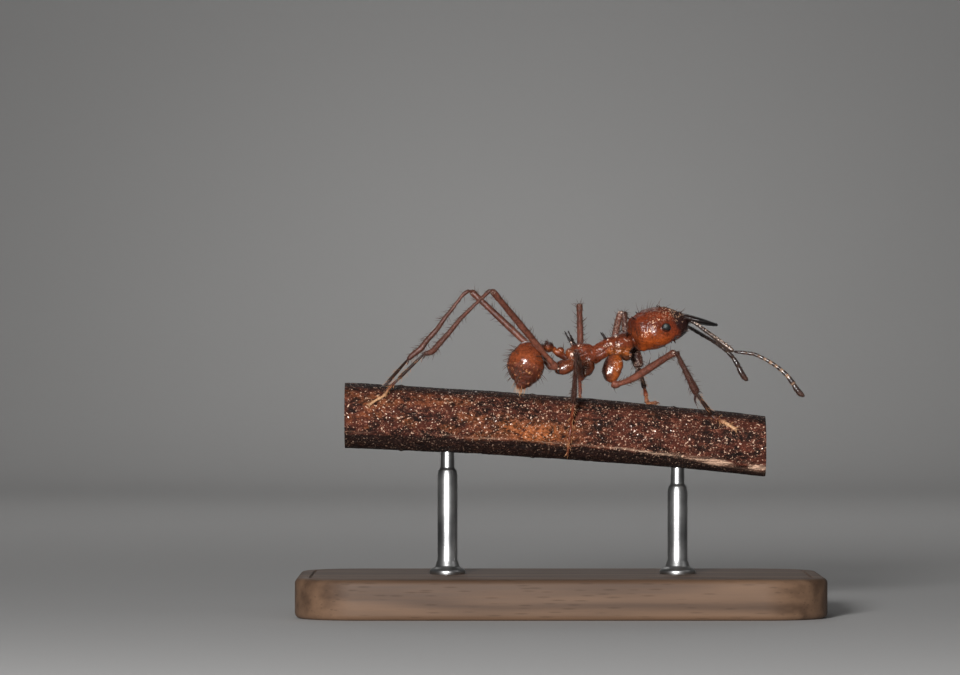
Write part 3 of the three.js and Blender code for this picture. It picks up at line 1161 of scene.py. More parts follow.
class Coat:
    """Bristles planted on skins, all in one mesh."""

    PATCH = 0.003
    SPANS = ((0, 1), (0.3, 0.82), (0.66, 0.52), (1, 0.1))
    SIDES = 4

    def __init__(self, name: str, seed: int) -> None:
        """Models one bristle of unit length and radius, to be planted many times.

        Args:
            name: The coat's name.
            seed: What its random draws start from.
        """
        self.name = name
        self.draw = np.random.default_rng(seed)
        rings = np.array([(along, wide, wide) for along, wide in self.SPANS])
        pattern = Form.shaft("bristle", rings, self.SIDES)
        self.shape = pattern.points()
        self.faces = [list(face.vertices) for face in pattern.thing.data.polygons]
        bpy.data.objects.remove(pattern.thing, do_unlink=True)
        self.points: list[Array] = []
        self.spots: list[Array] = []

    def sow(self, form: Form, growth: Growth, chart: Chart, lie: Vector,
            where: Where | None = None) -> None:
        """Plants bristles over a skin.

        Args:
            form: The skin, still in millimetres.
            growth: How the bristles stand.
            chart: The skin's unwrap.
            lie: The direction that they lie in.
            where: Gives how thickly they grow, from 0 to 1, by point and normal.
        """
        data = form.thing.data
        data.calc_loop_triangles()
        corners = form.points()[flat(data.loop_triangles, "vertices").astype(int)]
        turned = np.cross(corners[:, 1] - corners[:, 0], corners[:, 2] - corners[:, 0])
        area = np.linalg.norm(turned, axis=1)
        normals = turned / np.maximum(area, TINY)[:, None]
        weight = area if where is None else area * where(corners.mean(1), normals)
        chosen = self.draw.choice(len(area), growth.count, p=weight / weight.sum())
        u, v = self.draw.random((2, growth.count))
        flip = u + v > 1
        u, v = np.where(flip, 1 - u, u), np.where(flip, 1 - v, v)
        a, b, c = corners[chosen].transpose(1, 0, 2)
        roots = a + (b - a) * u[:, None] + (c - a) * v[:, None]
        self._plant(roots, normals[chosen], np.array(lie), growth)
        self.spots.append(chart.spot(roots))

    def _plant(self, roots: Array, normals: Array, flow: Array, growth: Growth) -> None:
        """Copies the bristle to each root, leaning and curling with the flow.

        Args:
            roots: Where the bristles stand, one a row.
            normals: The way the skin faces there.
            flow: The direction that they lie in.
            growth: How they stand.
        """
        count = len(roots)
        lie = flow - normals * (flow * normals).sum(1, keepdims=True)
        lie = unit(lie + self.draw.normal(0, 0.25, lie.shape))
        lean = np.radians(growth.lean + self.draw.normal(0, 10, count))[:, None]
        axis = unit(normals * np.cos(lean) + lie * np.sin(lean))
        across = unit(np.cross(axis, normals + 0.01))
        over = np.cross(axis, across)
        length = growth.length * (1 + self.draw.uniform(-growth.spread, growth.spread, count))
        radius = growth.radius * (0.75 + 0.25 * length / growth.length)
        x, y, z = self.shape.T
        radius, length = radius[:, None], length[:, None]
        steps = ((across, x * radius), (over, y * radius), (axis, z * length),
                 (lie, z**2 * growth.curl * length))
        hair = (roots - normals * growth.radius)[:, None] + sum(
            way[:, None] * far[..., None] for way, far in steps)
        self.points.append(hair.reshape(-1, 3))

    def finish(self, material: Material, slot: str) -> bpy.types.Object:
        """Joins all the bristles into one piece with its map, and hands it to the frame.

        Args:
            material: What the bristles are made of.
            slot: The record's slot; not used.

        Returns:
            The finished object.
        """
        points, spots = np.vstack(self.points), np.vstack(self.spots)
        step = len(self.shape)
        faces = [[corner + step * k for corner in face]
                 for k in range(len(spots)) for face in self.faces]
        data = bpy.data.meshes.new(self.name)
        data.from_pydata(points.tolist(), [], faces)
        thing = bpy.data.objects.new(self.name, data)
        bpy.context.scene.collection.objects.link(thing)
        form = Form(thing)
        form.paint(Layer.TIP, np.tile(self.shape[:, 2], len(spots)))
        x, _, z = self.shape.T
        inside = np.stack([x * 0.5, z - 0.5], 1) * self.PATCH
        at = (spots[:, None] + inside[None]).reshape(-1, 2)
        corners = np.empty(len(data.loops), dtype=np.int64)
        data.loops.foreach_get("vertex_index", corners)
        chart = data.uv_layers.new(name="OFBake")
        chart.data.foreach_set("uv", at[corners].astype(np.float32).ravel())
        return form.finish(material, slot)


# --- The head ---


@dataclass
class Head:
    """The head capsule: lobes behind, ridged brow over the feelers, a dark mouth shield."""

    stance: Stance
    capsule: Profile = Profile(
        stations=((0, 0.5), (0.05, 0.66), (0.19, 0.765), (0.34, 0.835), (0.5, 0.815),
                  (0.7, 0.68), (0.79, 0.6), (0.89, 0.48), (0.96, 0.38), (1, 0.3)),
        breadth=((0, 1.06), (0.2, 1.2), (0.4, 1.27), (0.58, 1.31), (0.76, 1.42),
                 (0.93, 1.62), (1, 1.62)),
        start=0.04, end=0.045)
    spine_rise: Stations = ((-0.05, -0.03), (0.3, 0.06), (0.56, 0.08), (0.76, 0.01), (1, -0.01))
    voxel: float = 0.02

    # The patches below are painted highlights on the flank and the front.
    #: Glinting patches, as patches takes them.
    GLINTS: ClassVar[Rows] = (
        (3.36, 11.14, 0.13, 0.09), (3.47, 11.24, 0.1, 0.1), (3.58, 11.36, 0.08, 0.1),
        (3.78, 11.5, 0.12, 0.08), (3.7, 11.68, 0.14, 0.07), (3.95, 11.78, 0.12, 0.06),
        (4.63, 11.74, 0.07, 0.05), (4.88, 11.7, 0.05, 0.04), (4.86, 11.42, 0.04, 0.04))

    #: Rows of foot, point and radius, as on_head takes places.
    THORNS: ClassVar[Rows] = (
        (0.09, 0.54, 0.5, -0.02, 0.7, 0.78, 0.07), (0.2, 0.34, 0.72, 0.15, 0.36, 0.9, 0.05),
        (0.565, 0.2, 0.78, 0.555, 0.21, 0.95, 0.06), (0.66, 0.4, -0.52, 0.675, 0.44, -0.72, 0.055))
    #: Rows of place, half sizes and degrees turned, in the middle and on each side.
    MIDDLE: ClassVar[Rows] = ((0.89, 0, 0.13, 0.26, 0.34, 0.17),
                              (0, 0, -0.14, 0.24, 0.26, 0.24))
    LUMPS: ClassVar[Rows] = (
        (0.2, 0.42, 0.12, 0.6, 0.54, 0.63), (0.11, 0.22, -0.38, 0.28, 0.34, 0.34),
        (0.44, 0.5, -0.12, 0.7, 0.52, 0.56), (0.79, 0.21, 0.42, 0.32, 0.12, 0.12, 9),
        (0.9, 0.44, -0.05, 0.2, 0.15, 0.2), (0.985, 0.25, 0, 0.08, 0.12, 0.07))

    def __post_init__(self) -> None:
        """Places the thorns of both sides."""
        self.thorns = {side: Thorn.row(self.stance.on_head, self.THORNS, side)
                       for side in (-1, 1)}

    def build(self) -> Form:
        """Models the capsule and paints its shades.

        Returns:
            The head's skin.
        """
        on, axes = self.stance.on_head, self.stance.head_axes
        line = Line([on(share, 0, rise) for share, rise in self.spine_rise],
                    self.stance.head_up)
        parts = [Form.limb("capsule", line, self.capsule, 46, 40),
                 *Form.lumps(on, axes, self.MIDDLE)]
        for side, thorns in self.thorns.items():
            lumps = [(*row[:6], *(side * turn for turn in row[6:])) for row in self.LUMPS]
            parts += Form.lumps(on, axes, lumps, side, "Z")
            parts += [Form.thorn(thorn) for thorn in thorns]
        skin = Form.fuse("head_skin", parts, self.voxel, 5)
        self._carve(skin)
        self._shade(skin)
        return skin

    def _round_eye(self, points: Array) -> Array:
        """How far points lie from the nearer eye's middle, 1 at its edge, large off the sides."""
        f, l, u = self.stance.in_head(points).T
        turn, (length, _, height) = self.stance.eye_tilt, Eye.size
        along = f * math.cos(turn) - u * math.sin(turn)
        across = f * math.sin(turn) + u * math.cos(turn)
        return np.hypot(along / length, across / height) + 4 * ramp(np.abs(l), 0.75, 0.6)

    def _carve(self, skin: Form) -> None:
        """Cuts the notch, furrows, sockets and eye rims, and ridges the brow.

        Args:
            skin: The head's skin.
        """
        f, l, u = self.stance.in_head(skin.points()).T
        wide, around = np.abs(l), self._round_eye(skin.points())
        notch = -0.16 * bell(l, 0.17) * ramp(f, -0.62, -1) * ramp(u, -0.5, -0.1)
        furrow = -0.02 * bell(l, 0.035) * ramp(u, 0.1, 0.4) * ramp(f, 0.5, 0.3)
        throat = -0.04 * bell(l, 0.07) * ramp(u, -0.3, -0.5)
        brow = ramp(f, -0.1, 0.12) * ramp(f, 0.9, 0.6) * ramp(u, 0.12, 0.3)
        edge = through(((0, 0.34), (0.25, 0.3), (0.5, 0.33), (0.8, 0.42)), f)
        ridges = sum(0.04 * bell(wide - edge - step, 0.032) for step in (0, 0.13, 0.24))
        dips = sum(-0.035 * bell(wide - edge - step, 0.035) for step in (0.065, 0.185))
        shield = -0.022 * bell(f - 0.5 + 0.5 * l * l, 0.03) * ramp(u, 0, 0.2)
        shield = shield * ramp(wide, 0.4, 0.2)
        rim = 0.024 * bell(around - 1.2, 0.12) - 0.04 * bell(around - 0.95, 0.14)
        cheek = (0.06 * bell(u + 0.34, 0.2) - 0.05 * bell(u - 0.2, 0.3)) * ramp(wide, 0.5, 0.8)
        skin.push(notch + furrow + throat + (ridges + dips) * brow + shield + rim
                  + cheek * ramp(f, 0.7, 0.3))
        local = self.stance.in_head(skin.points())
        u = local[:, 2]
        rugae = grain_at(local, (0.24, 0.11, 0.11), 2) * (0.003 + 0.035 * brow)
        pits = grain_at(local, 0.095, 2) * (0.004 + 0.009 * ramp(u, 0, 0.35))
        skin.push((rugae + pits) * ramp(around, 1, 1.3))

    def _shade(self, skin: Form) -> None:
        """Paints the dark mouth, thorns and furrows, the amber cheeks, the smooth sides, painted
        shade and painted highlights.

        Args:
            skin: The head's skin.
        """
        points = skin.points()
        f, l, u = self.stance.in_head(points).T
        around = self._round_eye(points)
        dusk = most(
            0.97 * ramp(f + 0.2 * u, 0.32, 0.6), 0.35 * ramp(u, 0.45, 0.85),
            0.6 * ramp(u - 0.1 * f, 0.42, 0.78) * ramp(f, -0.25, 0.15),
            # The darkening at the very back of the head, on the next line, is painted shade.
            0.6 * ramp(f, -0.95, -1.2), 0.97 * bell(around - 1.05, 0.2),
            0.5 * bell(l, 0.05) * ramp(u, 0.2, 0.5),
            *(thorn.cover(points, 2.2, 1, 0.2, 0.7) for side in self.thorns.values()
              for thorn in side))
        crest = ramp(u, 0.18, 0.4) * ramp(f, -0.15, 0.25) * ramp(f, 1.15, 0.95)
        crest = crest + 0.35 * ramp(u, 0.2, 0.5) * ramp(f, -0.75, -0.4)
        crest = np.clip(crest, 0, 1) * ramp(around, 1.1, 1.4)
        # Painted highlights: a streak of patches on the near flank, and speckled glints on the
        # crown.
        flank = patches(points, self.GLINTS) * ramp(-skin.normals()[:, 1], 0.2, 0.5)
        skin.paint(Layer.TIP, 0.42 * crest + 1.2 * flank)
        # The broad flat sides face the lamp and are painted darker: painted shade.
        facing = ramp(np.abs(skin.normals()[:, 1]), 0.7, 0.97)
        skin.paint(Layer.DUSK, dusk + 0.16 * crest + 0.4 * facing * (1 - crest))
        skin.paint(Layer.GLOW, ramp(u + 0.35 * f, 0.1, -0.55) * ramp(f, 0.4, -0.2))
        skin.paint(Layer.CALM, ramp(u + 0.3 * f, 0.3, -0.25))

    def dress(self, skin: Form, coat: Coat) -> None:
        """Plants the bristles of the head, longest on its crown and round the mouth.

        Args:
            skin: The head's skin.
            coat: The coat that takes them.
        """
        stance = self.stance
        chart = Chart(stance.on_head(0, 0, 0), stance.on_head(1, 0, 0))
        lie = stance.head_forward + stance.head_up * 0.2

        def eyes_bare(points: Array, _: Array) -> Array:
            """Keeps hairs off the eyes."""
            return ramp(self._round_eye(points), 1.2, 1.6)

        def crown(points: Array, _: Array) -> Array:
            """Hairs on the top of the head."""
            return ramp(stance.in_head(points)[:, 2], 0.5, 0.75)

        def mouth(points: Array, _: Array) -> Array:
            """Hairs on the front and the throat."""
            f, _, u = stance.in_head(points).T
            return np.maximum(ramp(f, 0.55, 0.9), 0.25 * ramp(u, -0.4, -0.6))

        coat.sow(skin, Growth(54, 0.12, 0.4, 0.008, 55), chart, lie, eyes_bare)
        coat.sow(skin, Growth(13, 0.4, 0.2, 0.011, 16, 0.2), chart, lie, crown)
        coat.sow(skin, Growth(26, 0.2, 0.4, 0.011, 40), chart, lie, mouth)


@dataclass
class Eye:
    """A compound eye: a low oval dome of many small facets."""

    stance: Stance
    side: Side
    size: ClassVar[tuple[float, float, float]] = (0.16, 0.1, 0.14)
    lift: ClassVar[float] = 0.035

    def build(self) -> Form:
        """Models the dome and its facets.

        Returns:
            The eye.
        """
        Form.clear()
        bpy.ops.mesh.primitive_ico_sphere_add(subdivisions=4, radius=1)
        eye = Form.adopt(f"eye_facets_{self.side.word}")
        eye.edit("VERT")
        bpy.ops.mesh.select_all(action="SELECT")
        bpy.ops.mesh.bevel(offset_type="PERCENT", offset_pct=46, segments=1, affect="VERTICES")
        bpy.ops.mesh.select_mode(type="FACE")
        bpy.ops.mesh.select_all(action="SELECT")
        bpy.ops.mesh.poke(offset=0.02)
        eye.leave()
        unit = eye.points()
        tilt = Matrix.Rotation(self.stance.eye_tilt, 3, "Y")
        eye.thing.matrix_world = (
            Matrix.Translation(self.stance.solids.middle(f"eye_{self.side.word}") + UP * self.lift)
            @ (self.stance.head_axes @ tilt).to_4x4() @ Matrix.Diagonal((*self.size, 1)))
        eye.pick()
        bpy.ops.object.transform_apply(location=True, rotation=True, scale=True)
        outward = unit[:, 1] * self.side.value
        # A painted reflection: the grey-green tint on the upper rear of the outer face.
        sheen = bell(unit[:, 0] + 0.3, 0.42) * bell(unit[:, 2] - 0.3, 0.42)
        eye.paint(Layer.GLOW, sheen * ramp(outward, 0.3, 0.8))
        return eye


@dataclass
class Mandible:
    """A jaw: a curved blade with teeth along its inner edge that grow towards the tip."""

    stance: Stance
    side: Side
    length: float = 1.34
    teeth: int = 8
    droop: float = math.radians(14.0)
    open: float = math.radians(9.0)
    hinge: tuple[float, float, float] = (4.94, 0.42, 11.88)
    blade: Profile = Profile(
        stations=((0, 0.14), (0.25, 0.14), (0.6, 0.105), (0.85, 0.07), (1, 0.04)),
        breadth=((0, 1.2), (0.2, 1.5), (0.45, 2.3), (0.7, 2.4), (0.9, 1.7), (1, 1.1)),
        start=0.1, end=0.08)

    def build(self) -> Form:
        """Models the blade and its teeth.

        Returns:
            The jaw.
        """
        sign = self.side.value
        ahead = Matrix.Rotation(sign * self.open, 3, UP) @ self.stance.forward
        ahead = (ahead * math.cos(self.droop) - UP * math.sin(self.droop)).normalized()
        inward = (UP.cross(ahead) * -sign).normalized()
        above = ahead.cross(inward) * -sign
        root = self.stance.on_body(self.hinge[0], sign * self.hinge[1], self.hinge[2])

        def at(along: float, inner: float, rise: float = 0.0) -> Vector:
            """A point of the blade: share along, distance inward, distance up."""
            return root + ahead * along * self.length + inward * inner + above * rise

        line = Line([at(-0.08, 0.02), at(0.25, -0.05), at(0.6, 0), at(0.86, 0.12),
                     at(1, 0.26)], above)
        parts = [Form.limb("blade", line, self.blade, 30, 24)]
        for k in range(self.teeth):
            share = 0.42 + 0.54 * k / (self.teeth - 1)
            size = 0.55 + 0.45 * k / (self.teeth - 1)
            foot = line.point(share) + inward * 0.05
            tip = foot + (inward + ahead * 0.25).normalized() * (0.16 + 0.1 * size)
            parts.append(Form.thorn(Thorn(foot, tip, 0.06 * size + 0.01), 0.2))
        jaw = Form.fuse(f"jaw_{self.side.word}", parts, 0.014, 3)
        away, share = to_segment(jaw.points(), at(0, 0), at(1, 0.1))
        jaw.push(grain_at(jaw.points(), 0.07, 2) * 0.004)
        jaw.paint(Layer.DUSK, 0.55 + 0.45 * ramp(share, 0.1, 0.5))
        jaw.paint(Layer.GLOW, ramp(away, 0.1, 0.3) * 0.3)
        return jaw


@dataclass
class Feeler:
    """A feeler: the long scape, and the ringed whip with its club."""

    stance: Stance
    side: Side
    socket: tuple[float, float, float] = (4.62, 0.3, 12.06)
    joints: int = 10
    scape: Profile = Profile(
        stations=((0, 0.06), (0.035, 0.085), (0.075, 0.05), (0.14, 0.058), (0.5, 0.076),
                  (0.85, 0.096), (0.96, 0.09), (1, 0.07)),
        start=0.02, end=0.03)
    whip: Profile = Profile(
        stations=((0, 0.055), (0.1, 0.068), (0.4, 0.072), (0.62, 0.082), (0.76, 0.1),
                  (0.9, 0.115), (0.97, 0.105), (1, 0.08)),
        start=0.012, end=0.045)

    def __post_init__(self) -> None:
        """Reads the elbow and the whip's line from the solids."""
        word, solids = self.side.word, self.stance.solids
        x, out, z = self.socket
        root = self.stance.on_body(x, self.side.value * out, z)
        elbow = solids.far(f"scape_{word}", root)
        tip = solids.far(f"funiculus_{word}", elbow)
        bow = root.lerp(elbow, 0.35) + UP * 0.08
        self.scape_line = Line([root, bow, elbow])
        whip = solids.middle_line(f"funiculus_{word}", elbow, tip, 9)
        self.whip_line = Line([elbow, *whip[2:-1], tip - (tip - whip[-2]).normalized() * 0.02])

    def build_scape(self) -> Form:
        """Models the scape.

        Returns:
            The scape.
        """
        form = Form.limb(f"scape_skin_{self.side.word}", self.scape_line, self.scape, 60, 20)
        _, share = to_segment(form.points(), self.scape_line.point(0), self.scape_line.point(1))
        form.push(grain_at(form.points(), 0.08, 2) * 0.005)
        form.paint(Layer.DUSK, 0.8 + 0.2 * ramp(share, 0.1, 0))
        form.paint(Layer.GLOW, 0.3 * ramp(share, 0.3, 0.8))
        # A painted highlight: a speckled pale streak along the top.
        above = form.normals()[:, 2]
        form.paint(Layer.TIP, 2.2 * ramp(above, 0.1, 0.45) * ramp(share, 0.03, 0.15))
        return form

    def build_whip(self) -> Form:
        """Models the whip: a long first joint, short ones, and a longer club.

        Returns:
            The whip.
        """
        lengths = np.array([1.5, 0.85, *[0.8] * (self.joints - 5), 1, 1.25, 2])
        cuts = np.concatenate([[0], np.cumsum(lengths)]) / lengths.sum()
        shape = np.array([(0, 0.8), (0.1, 0.93), (0.3, 1), (0.7, 1.04), (0.9, 1),
                          (0.98, 0.84)])
        share, pinch = jointed(cuts, shape)
        last = share > 1 - self.whip.end
        pinch[last] = 1
        half = through(self.whip.stations, share) * pinch
        half = half * dome(share, self.whip.start, self.whip.end, 0.1)
        share = np.append(share, 1)
        half = np.append(half, half[-1] * 0.12)
        rings = np.stack([share * self.whip_line.length, half, half], 1)
        form = Form.shaft(f"whip_skin_{self.side.word}", rings, 16)
        straight = form.points()[:, 2] / self.whip_line.length
        form.place(self.whip_line.lay(form.points()))
        nearest = np.abs(straight[:, None] - cuts[None, 1:-1]).min(1) * self.whip_line.length
        ring = bell(nearest - 0.03, 0.026) * (0.35 + 0.65 * ramp(straight, 0.2, 0.45))
        # The far feeler's pale rings are dimmed: painted shade.
        pale = ring * ramp(straight, 0.9, 0.8) * (1 if self.side is Side.RIGHT else 0.25)
        form.paint(Layer.DUSK, 0.85 - 0.85 * pale - 0.4 * ramp(straight, 0.86, 0.9))
        form.paint(Layer.GLOW, pale)
        return form

    def dress(self, scape: Form, whip: Form, coat: Coat) -> None:
        """Plants the short hairs of both parts.

        Args:
            scape: The scape.
            whip: The whip.
            coat: The coat that takes them.
        """
        for form, line, growth, low in (
                (scape, self.scape_line, Growth(26, 0.13, 0.35, 0.009, 42), 0.02),
                (whip, self.whip_line, Growth(80, 0.075, 0.3, 0.007, 50), 0.5)):
            start, end = line.point(0), line.point(1)
            coat.sow(form, growth, Chart(start, end, low, low + 0.46),
                     (end - start).normalized())


# --- Trunk, waist and gaster ---


@dataclass
class Trunk:
    """The trunk: collar, spined back, side plates and the rear with its two long spines."""

    stance: Stance
    voxel: float = 0.018
    # The patches below are painted highlights on the flanks.
    #: Glinting patches, as patches takes them.
    GLINTS: ClassVar[Rows] = (
        (2.22, 11.1, 0.08, 0.07), (2.24, 10.72, 0.09, 0.12), (2.33, 10.52, 0.05, 0.06),
        (1.77, 10.72, 0.16, 0.05), (1.97, 10.8, 0.06, 0.07), (1.87, 10.99, 0.05, 0.04),
        (0.43, 10.33, 0.13, 0.16), (0.34, 10.52, 0.05, 0.1), (0.31, 10.18, 0.07, 0.06),
        (0.52, 10.88, 0.06, 0.06), (0.78, 10.72, 0.12, 0.07), (2.62, 10.95, 0.12, 0.05),
        (2.44, 10.2, 0.08, 0.05), (2.94, 10.58, 0.05, 0.05), (2.78, 10.34, 0.05, 0.1))
    front: Profile = Profile(
        stations=((0, 0.2), (0.12, 0.27), (0.3, 0.38), (0.5, 0.43), (0.75, 0.38), (1, 0.27)),
        breadth=((0, 1), (0.4, 1.15), (1, 1)), start=0.05, end=0.08)
    rear: Profile = Profile(
        stations=((0, 0.17), (0.1, 0.26), (0.21, 0.36), (0.4, 0.41), (0.59, 0.38), (0.77, 0.34),
                  (1, 0.29)),
        breadth=((0, 0.9), (0.5, 0.84), (1, 0.9)), start=0.08, end=0.1)

    #: Rows of foot, point and radius, as on_body takes places.
    THORNS: ClassVar[Rows] = (
        (2.5, 0.34, 10.96, 2.62, 0.62, 11.26, 0.07), (1.86, 0.14, 10.94, 1.65, 0.2, 11.28, 0.065),
        (2.62, 0.3, 10.52, 2.8, 0.46, 10.44, 0.055), (0.6, 0.24, 10.64, 0.25, 0.5, 11.32, 0.08))
    #: Rows of place, half sizes and degrees turned, in the middle and on each side.
    MIDDLE: ClassVar[Rows] = ((1.98, 0, 10.76, 0.32, 0.27, 0.33),
                              (0.8, 0, 10.56, 0.42, 0.27, 0.28))
    LUMPS: ClassVar[Rows] = (
        (2.38, 0.19, 10.8, 0.38, 0.33, 0.37, -12), (1.75, 0.15, 10.48, 0.42, 0.2, 0.22, -38),
        (2.06, 0.2, 10.54, 0.17, 0.2, 0.27, -12), (2.3, 0.21, 10.46, 0.24, 0.19, 0.14),
        (2.64, 0.13, 10.37, 0.22, 0.18, 0.24, -12), (2.56, 0.2, 10.62, 0.24, 0.2, 0.3, -12),
        (0.45, 0.25, 10.36, 0.18, 0.12, 0.22), (1.14, 0.2, 10.16, 0.22, 0.16, 0.24),
        (0.58, 0.22, 10.12, 0.2, 0.16, 0.16))

    def __post_init__(self) -> None:
        """Places the thorns of both sides."""
        self.thorns = {side: Thorn.row(self.stance.on_body, self.THORNS, side)
                       for side in (-1, 1)}

    def build(self) -> Form:
        """Models the trunk as one skin and paints its shades.

        Returns:
            The trunk's skin.
        """
        on, axes = self.stance.on_body, self.stance.body_axes
        front, rear = (Line([on(x, 0, z) for x, z in path]) for path in (
            ((3.1, 11.02), (2.72, 10.9), (2.3, 10.79), (1.85, 10.72)),
            ((0.2, 10.33), (0.6, 10.41), (0.95, 10.42), (1.3, 10.37), (1.62, 10.52),
             (2, 10.76))))
        parts = [Form.limb("front", front, self.front, 32, 32),
                 Form.limb("rear", rear, self.rear, 40, 32),
                 *Form.lumps(on, axes, self.MIDDLE)]
        for side, thorns in self.thorns.items():
            parts += Form.lumps(on, axes, self.LUMPS, side)
            parts += [Form.thorn(thorn) for thorn in thorns]
        skin = Form.fuse("trunk_skin", parts, self.voxel, 3)
        self._carve(skin)
        self._shade(skin)
        return skin

    def _seams(self, points: Array) -> Array:
        """How near points are to the seams between the trunk's plates.

        Args:
            points: World points, one a row.

        Returns:
            1 on a seam, 0 off it, for each point.
        """
        x, l, z = self.stance.in_body(points).T
        side = ramp(np.abs(l), 0.06, 0.16)
        yoke = bell(x - 2.16 - 0.25 * (z - 10.75), 0.035) * ramp(z, 10.42, 10.55)
        lower = bell(z - 10.6 + 0.1 * (x - 2), 0.028) * side * ramp(x, 1.85, 1.95)
        fold = bell(z - 10.47, 0.02) * side * ramp(x, 1.95, 2.05) * ramp(x, 2.6, 2.5)
        plate = bell(z - 10.5 - 0.75 * (x - 1.62), 0.03) * side * ramp(x, 1.35, 1.5)
        plate = plate * ramp(x, 2, 1.9)
        rear = bell(z - 10.42 - 0.5 * (x - 0.9), 0.028) * side * ramp(x, 1.34, 1.2)
        rear = rear * ramp(x, 0.5, 0.6)
        collar = bell(x - 2.86 + 0.3 * (z - 11), 0.035)
        return np.clip(yoke + lower + fold + plate + rear + collar, 0, 1)

    def _carve(self, skin: Form) -> None:
        """Cuts the seams and breathing holes, raises the back's ridges, roughens the skin.

        Args:
            skin: The trunk's skin.
        """
        points = skin.points()
        x, l, z = self.stance.in_body(points).T
        wide = np.abs(l)
        ridge = 0.025 * bell(wide - 0.15, 0.03) * ramp(z, 10.7, 10.8) * ramp(x, 1.3, 1.1)
        hole = np.hypot(x - 0.8, z - 10.5)
        hole = (0.014 * bell(hole - 0.06, 0.02) - 0.04 * bell(hole, 0.035)) * ramp(wide, 0.15, 0.25)
        skin.push(-0.03 * self._seams(points) + ridge + hole)
        local = self.stance.in_body(skin.points())
        skin.push(grain_at(local, (0.3, 0.2, 0.2), 2) * 0.03 + grain_at(local, 0.11, 2) * 0.012)

    def _shade(self, skin: Form) -> None:
        """Paints dark spines and seams, a darker top and lower front, the amber of the lower
        plates, and painted highlights on the flanks.

        Args:
            skin: The trunk's skin.
        """
        points = skin.points()
        x, l, z = self.stance.in_body(points).T
        ridge = 0.5 * bell(np.abs(l) - 0.15, 0.05) * ramp(z, 10.72, 10.8) * ramp(x, 1.3, 1.1)
        dusk = most(0.35 * self._seams(points), 0.45 * ramp(z, 10.98, 11.14) + ridge,
                    0.8 * ramp(z, 10.42, 10.3) * ramp(x, 1.8, 2),
                    *(thorn.cover(points, 2.6, 1.2, start, start + 0.3)
                      for side in self.thorns.values()
                      for thorn, start in zip(side, (0.4, 0, 0.4, 0))))
        flank = ramp(np.abs(l), 0.08, 0.2)
        # Painted highlights: pale patches on the flanks.
        skin.paint(Layer.TIP, 1.5 * patches(np.stack([x, l, z], 1), self.GLINTS) * flank)
        glow = ramp(z, 10.78, 10.5) * ramp(x, 1.75, 1.95)
        skin.paint(Layer.DUSK, dusk)
        skin.paint(Layer.GLOW, np.maximum(glow, 0.35 * ramp(x, 0.6, 0.4)))

    def dress(self, skin: Form, coat: Coat) -> None:
        """Plants the bristles of the trunk, most of them on its back.

        Args:
            skin: The trunk's skin.
            coat: The coat that takes them.
        """
        chart = Chart(self.stance.on_body(3.1, 0, 10.9), self.stance.on_body(0.2, 0, 10.3))
        lie = UP * 0.3 - self.stance.forward

        def back(_: Array, normals: Array) -> Array:
            """Most hairs on the back."""
            return ramp(normals[:, 2], -0.2, 0.7) + 0.15

        coat.sow(skin, Growth(34, 0.2, 0.4, 0.011, 26), chart, lie, back)
        coat.sow(skin, Growth(36, 0.1, 0.4, 0.008, 45), chart, lie)


@dataclass
class Waist:
    """The two small joints between trunk and gaster, each with its own knobs."""

    stance: Stance

    def build_petiole(self) -> Form:
        """Models the stalk with its node.

        Returns:
            The first joint.
        """
        on, axes = self.stance.on_body, self.stance.body_axes
        line = Line([on(0.36, 0, 10.2), on(0.12, 0, 10.31), on(-0.1, 0, 10.46),
                     on(-0.27, 0, 10.57)])
        stalk = Profile(stations=((0, 0.13), (0.4, 0.13), (0.7, 0.15), (1, 0.11)),
                        breadth=((0, 1.1), (1, 1.3)), start=0.1, end=0.1)
        parts = [Form.limb("stalk", line, stalk, 22, 24),
                 Form.ball(on(0.015, 0, 10.52), (0.155, 0.22, 0.17), axes)]
        skin = Form.fuse("petiole_skin", parts, 0.014, 4)
        return self._finish_skin(skin, 10.36)

    def build_postpetiole(self) -> Form:
        """Models the broad second joint.

        Returns:
            The second joint.
        """
        on, axes = self.stance.on_body, self.stance.body_axes
        parts = Form.lumps(on, axes, ((-0.46, 0, 10.68, 0.21, 0.32, 0.215),
                                      (-0.27, 0, 10.59, 0.13, 0.16, 0.12),
                                      (-0.72, 0, 10.66, 0.17, 0.24, 0.16)))
        for side in (-1, 1):
            thorns = Thorn.row(on, ((-0.52, 0.13, 10.82, -0.57, 0.15, 10.94, 0.05),), side)
            parts += [*map(Form.thorn, thorns),
                      Form.ball(on(-0.5, side * 0.27, 10.68), (0.12, 0.1, 0.12), axes)]
        skin = Form.fuse("postpetiole_skin", parts, 0.014, 4)
        return self._finish_skin(skin, 10.42)

    def _finish_skin(self, skin: Form, belly: float) -> Form:
        """Roughens a joint's skin, darkens it above and below around an amber band, and adds
        painted highlight patches.

        Args:
            skin: The joint's skin.
            belly: The height of its belly.

        Returns:
            The same skin.
        """
        points = skin.points()
        skin.push(grain_at(points, 0.16, 2) * 0.014)
        height = points[:, 2]
        skin.paint(Layer.DUSK, 0.8 * ramp(height, belly + 0.2, belly + 0.4)
                   + 0.6 * ramp(height, belly + 0.08, belly - 0.12))
        skin.paint(Layer.GLOW, 0.5 * bell(height - belly - 0.16, 0.1))
        # Painted highlights on the node and on the second joint's knob.
        skin.paint(Layer.TIP, 1.3 * patches(points, ((-0.02, 10.58, 0.05, 0.05),
                                                     (-0.52, 10.7, 0.05, 0.06))))
        return skin

    def dress(self, skins: Sequence[Form], coat: Coat) -> None:
        """Plants a few bristles on both joints.

        Args:
            skins: The two joints.
            coat: The coat that takes them.
        """
        chart = Chart(self.stance.on_body(0.3, 0, 10.4), self.stance.on_body(-0.8, 0, 10.6))

        def above(_: Array, normals: Array) -> Array:
            """Hairs on the back only, but for a few."""
            return ramp(normals[:, 2], -0.1, 0.7) + 0.05

        for skin in skins:
            coat.sow(skin, Growth(9, 0.2, 0.35, 0.011, 25), chart, -self.stance.forward, above)


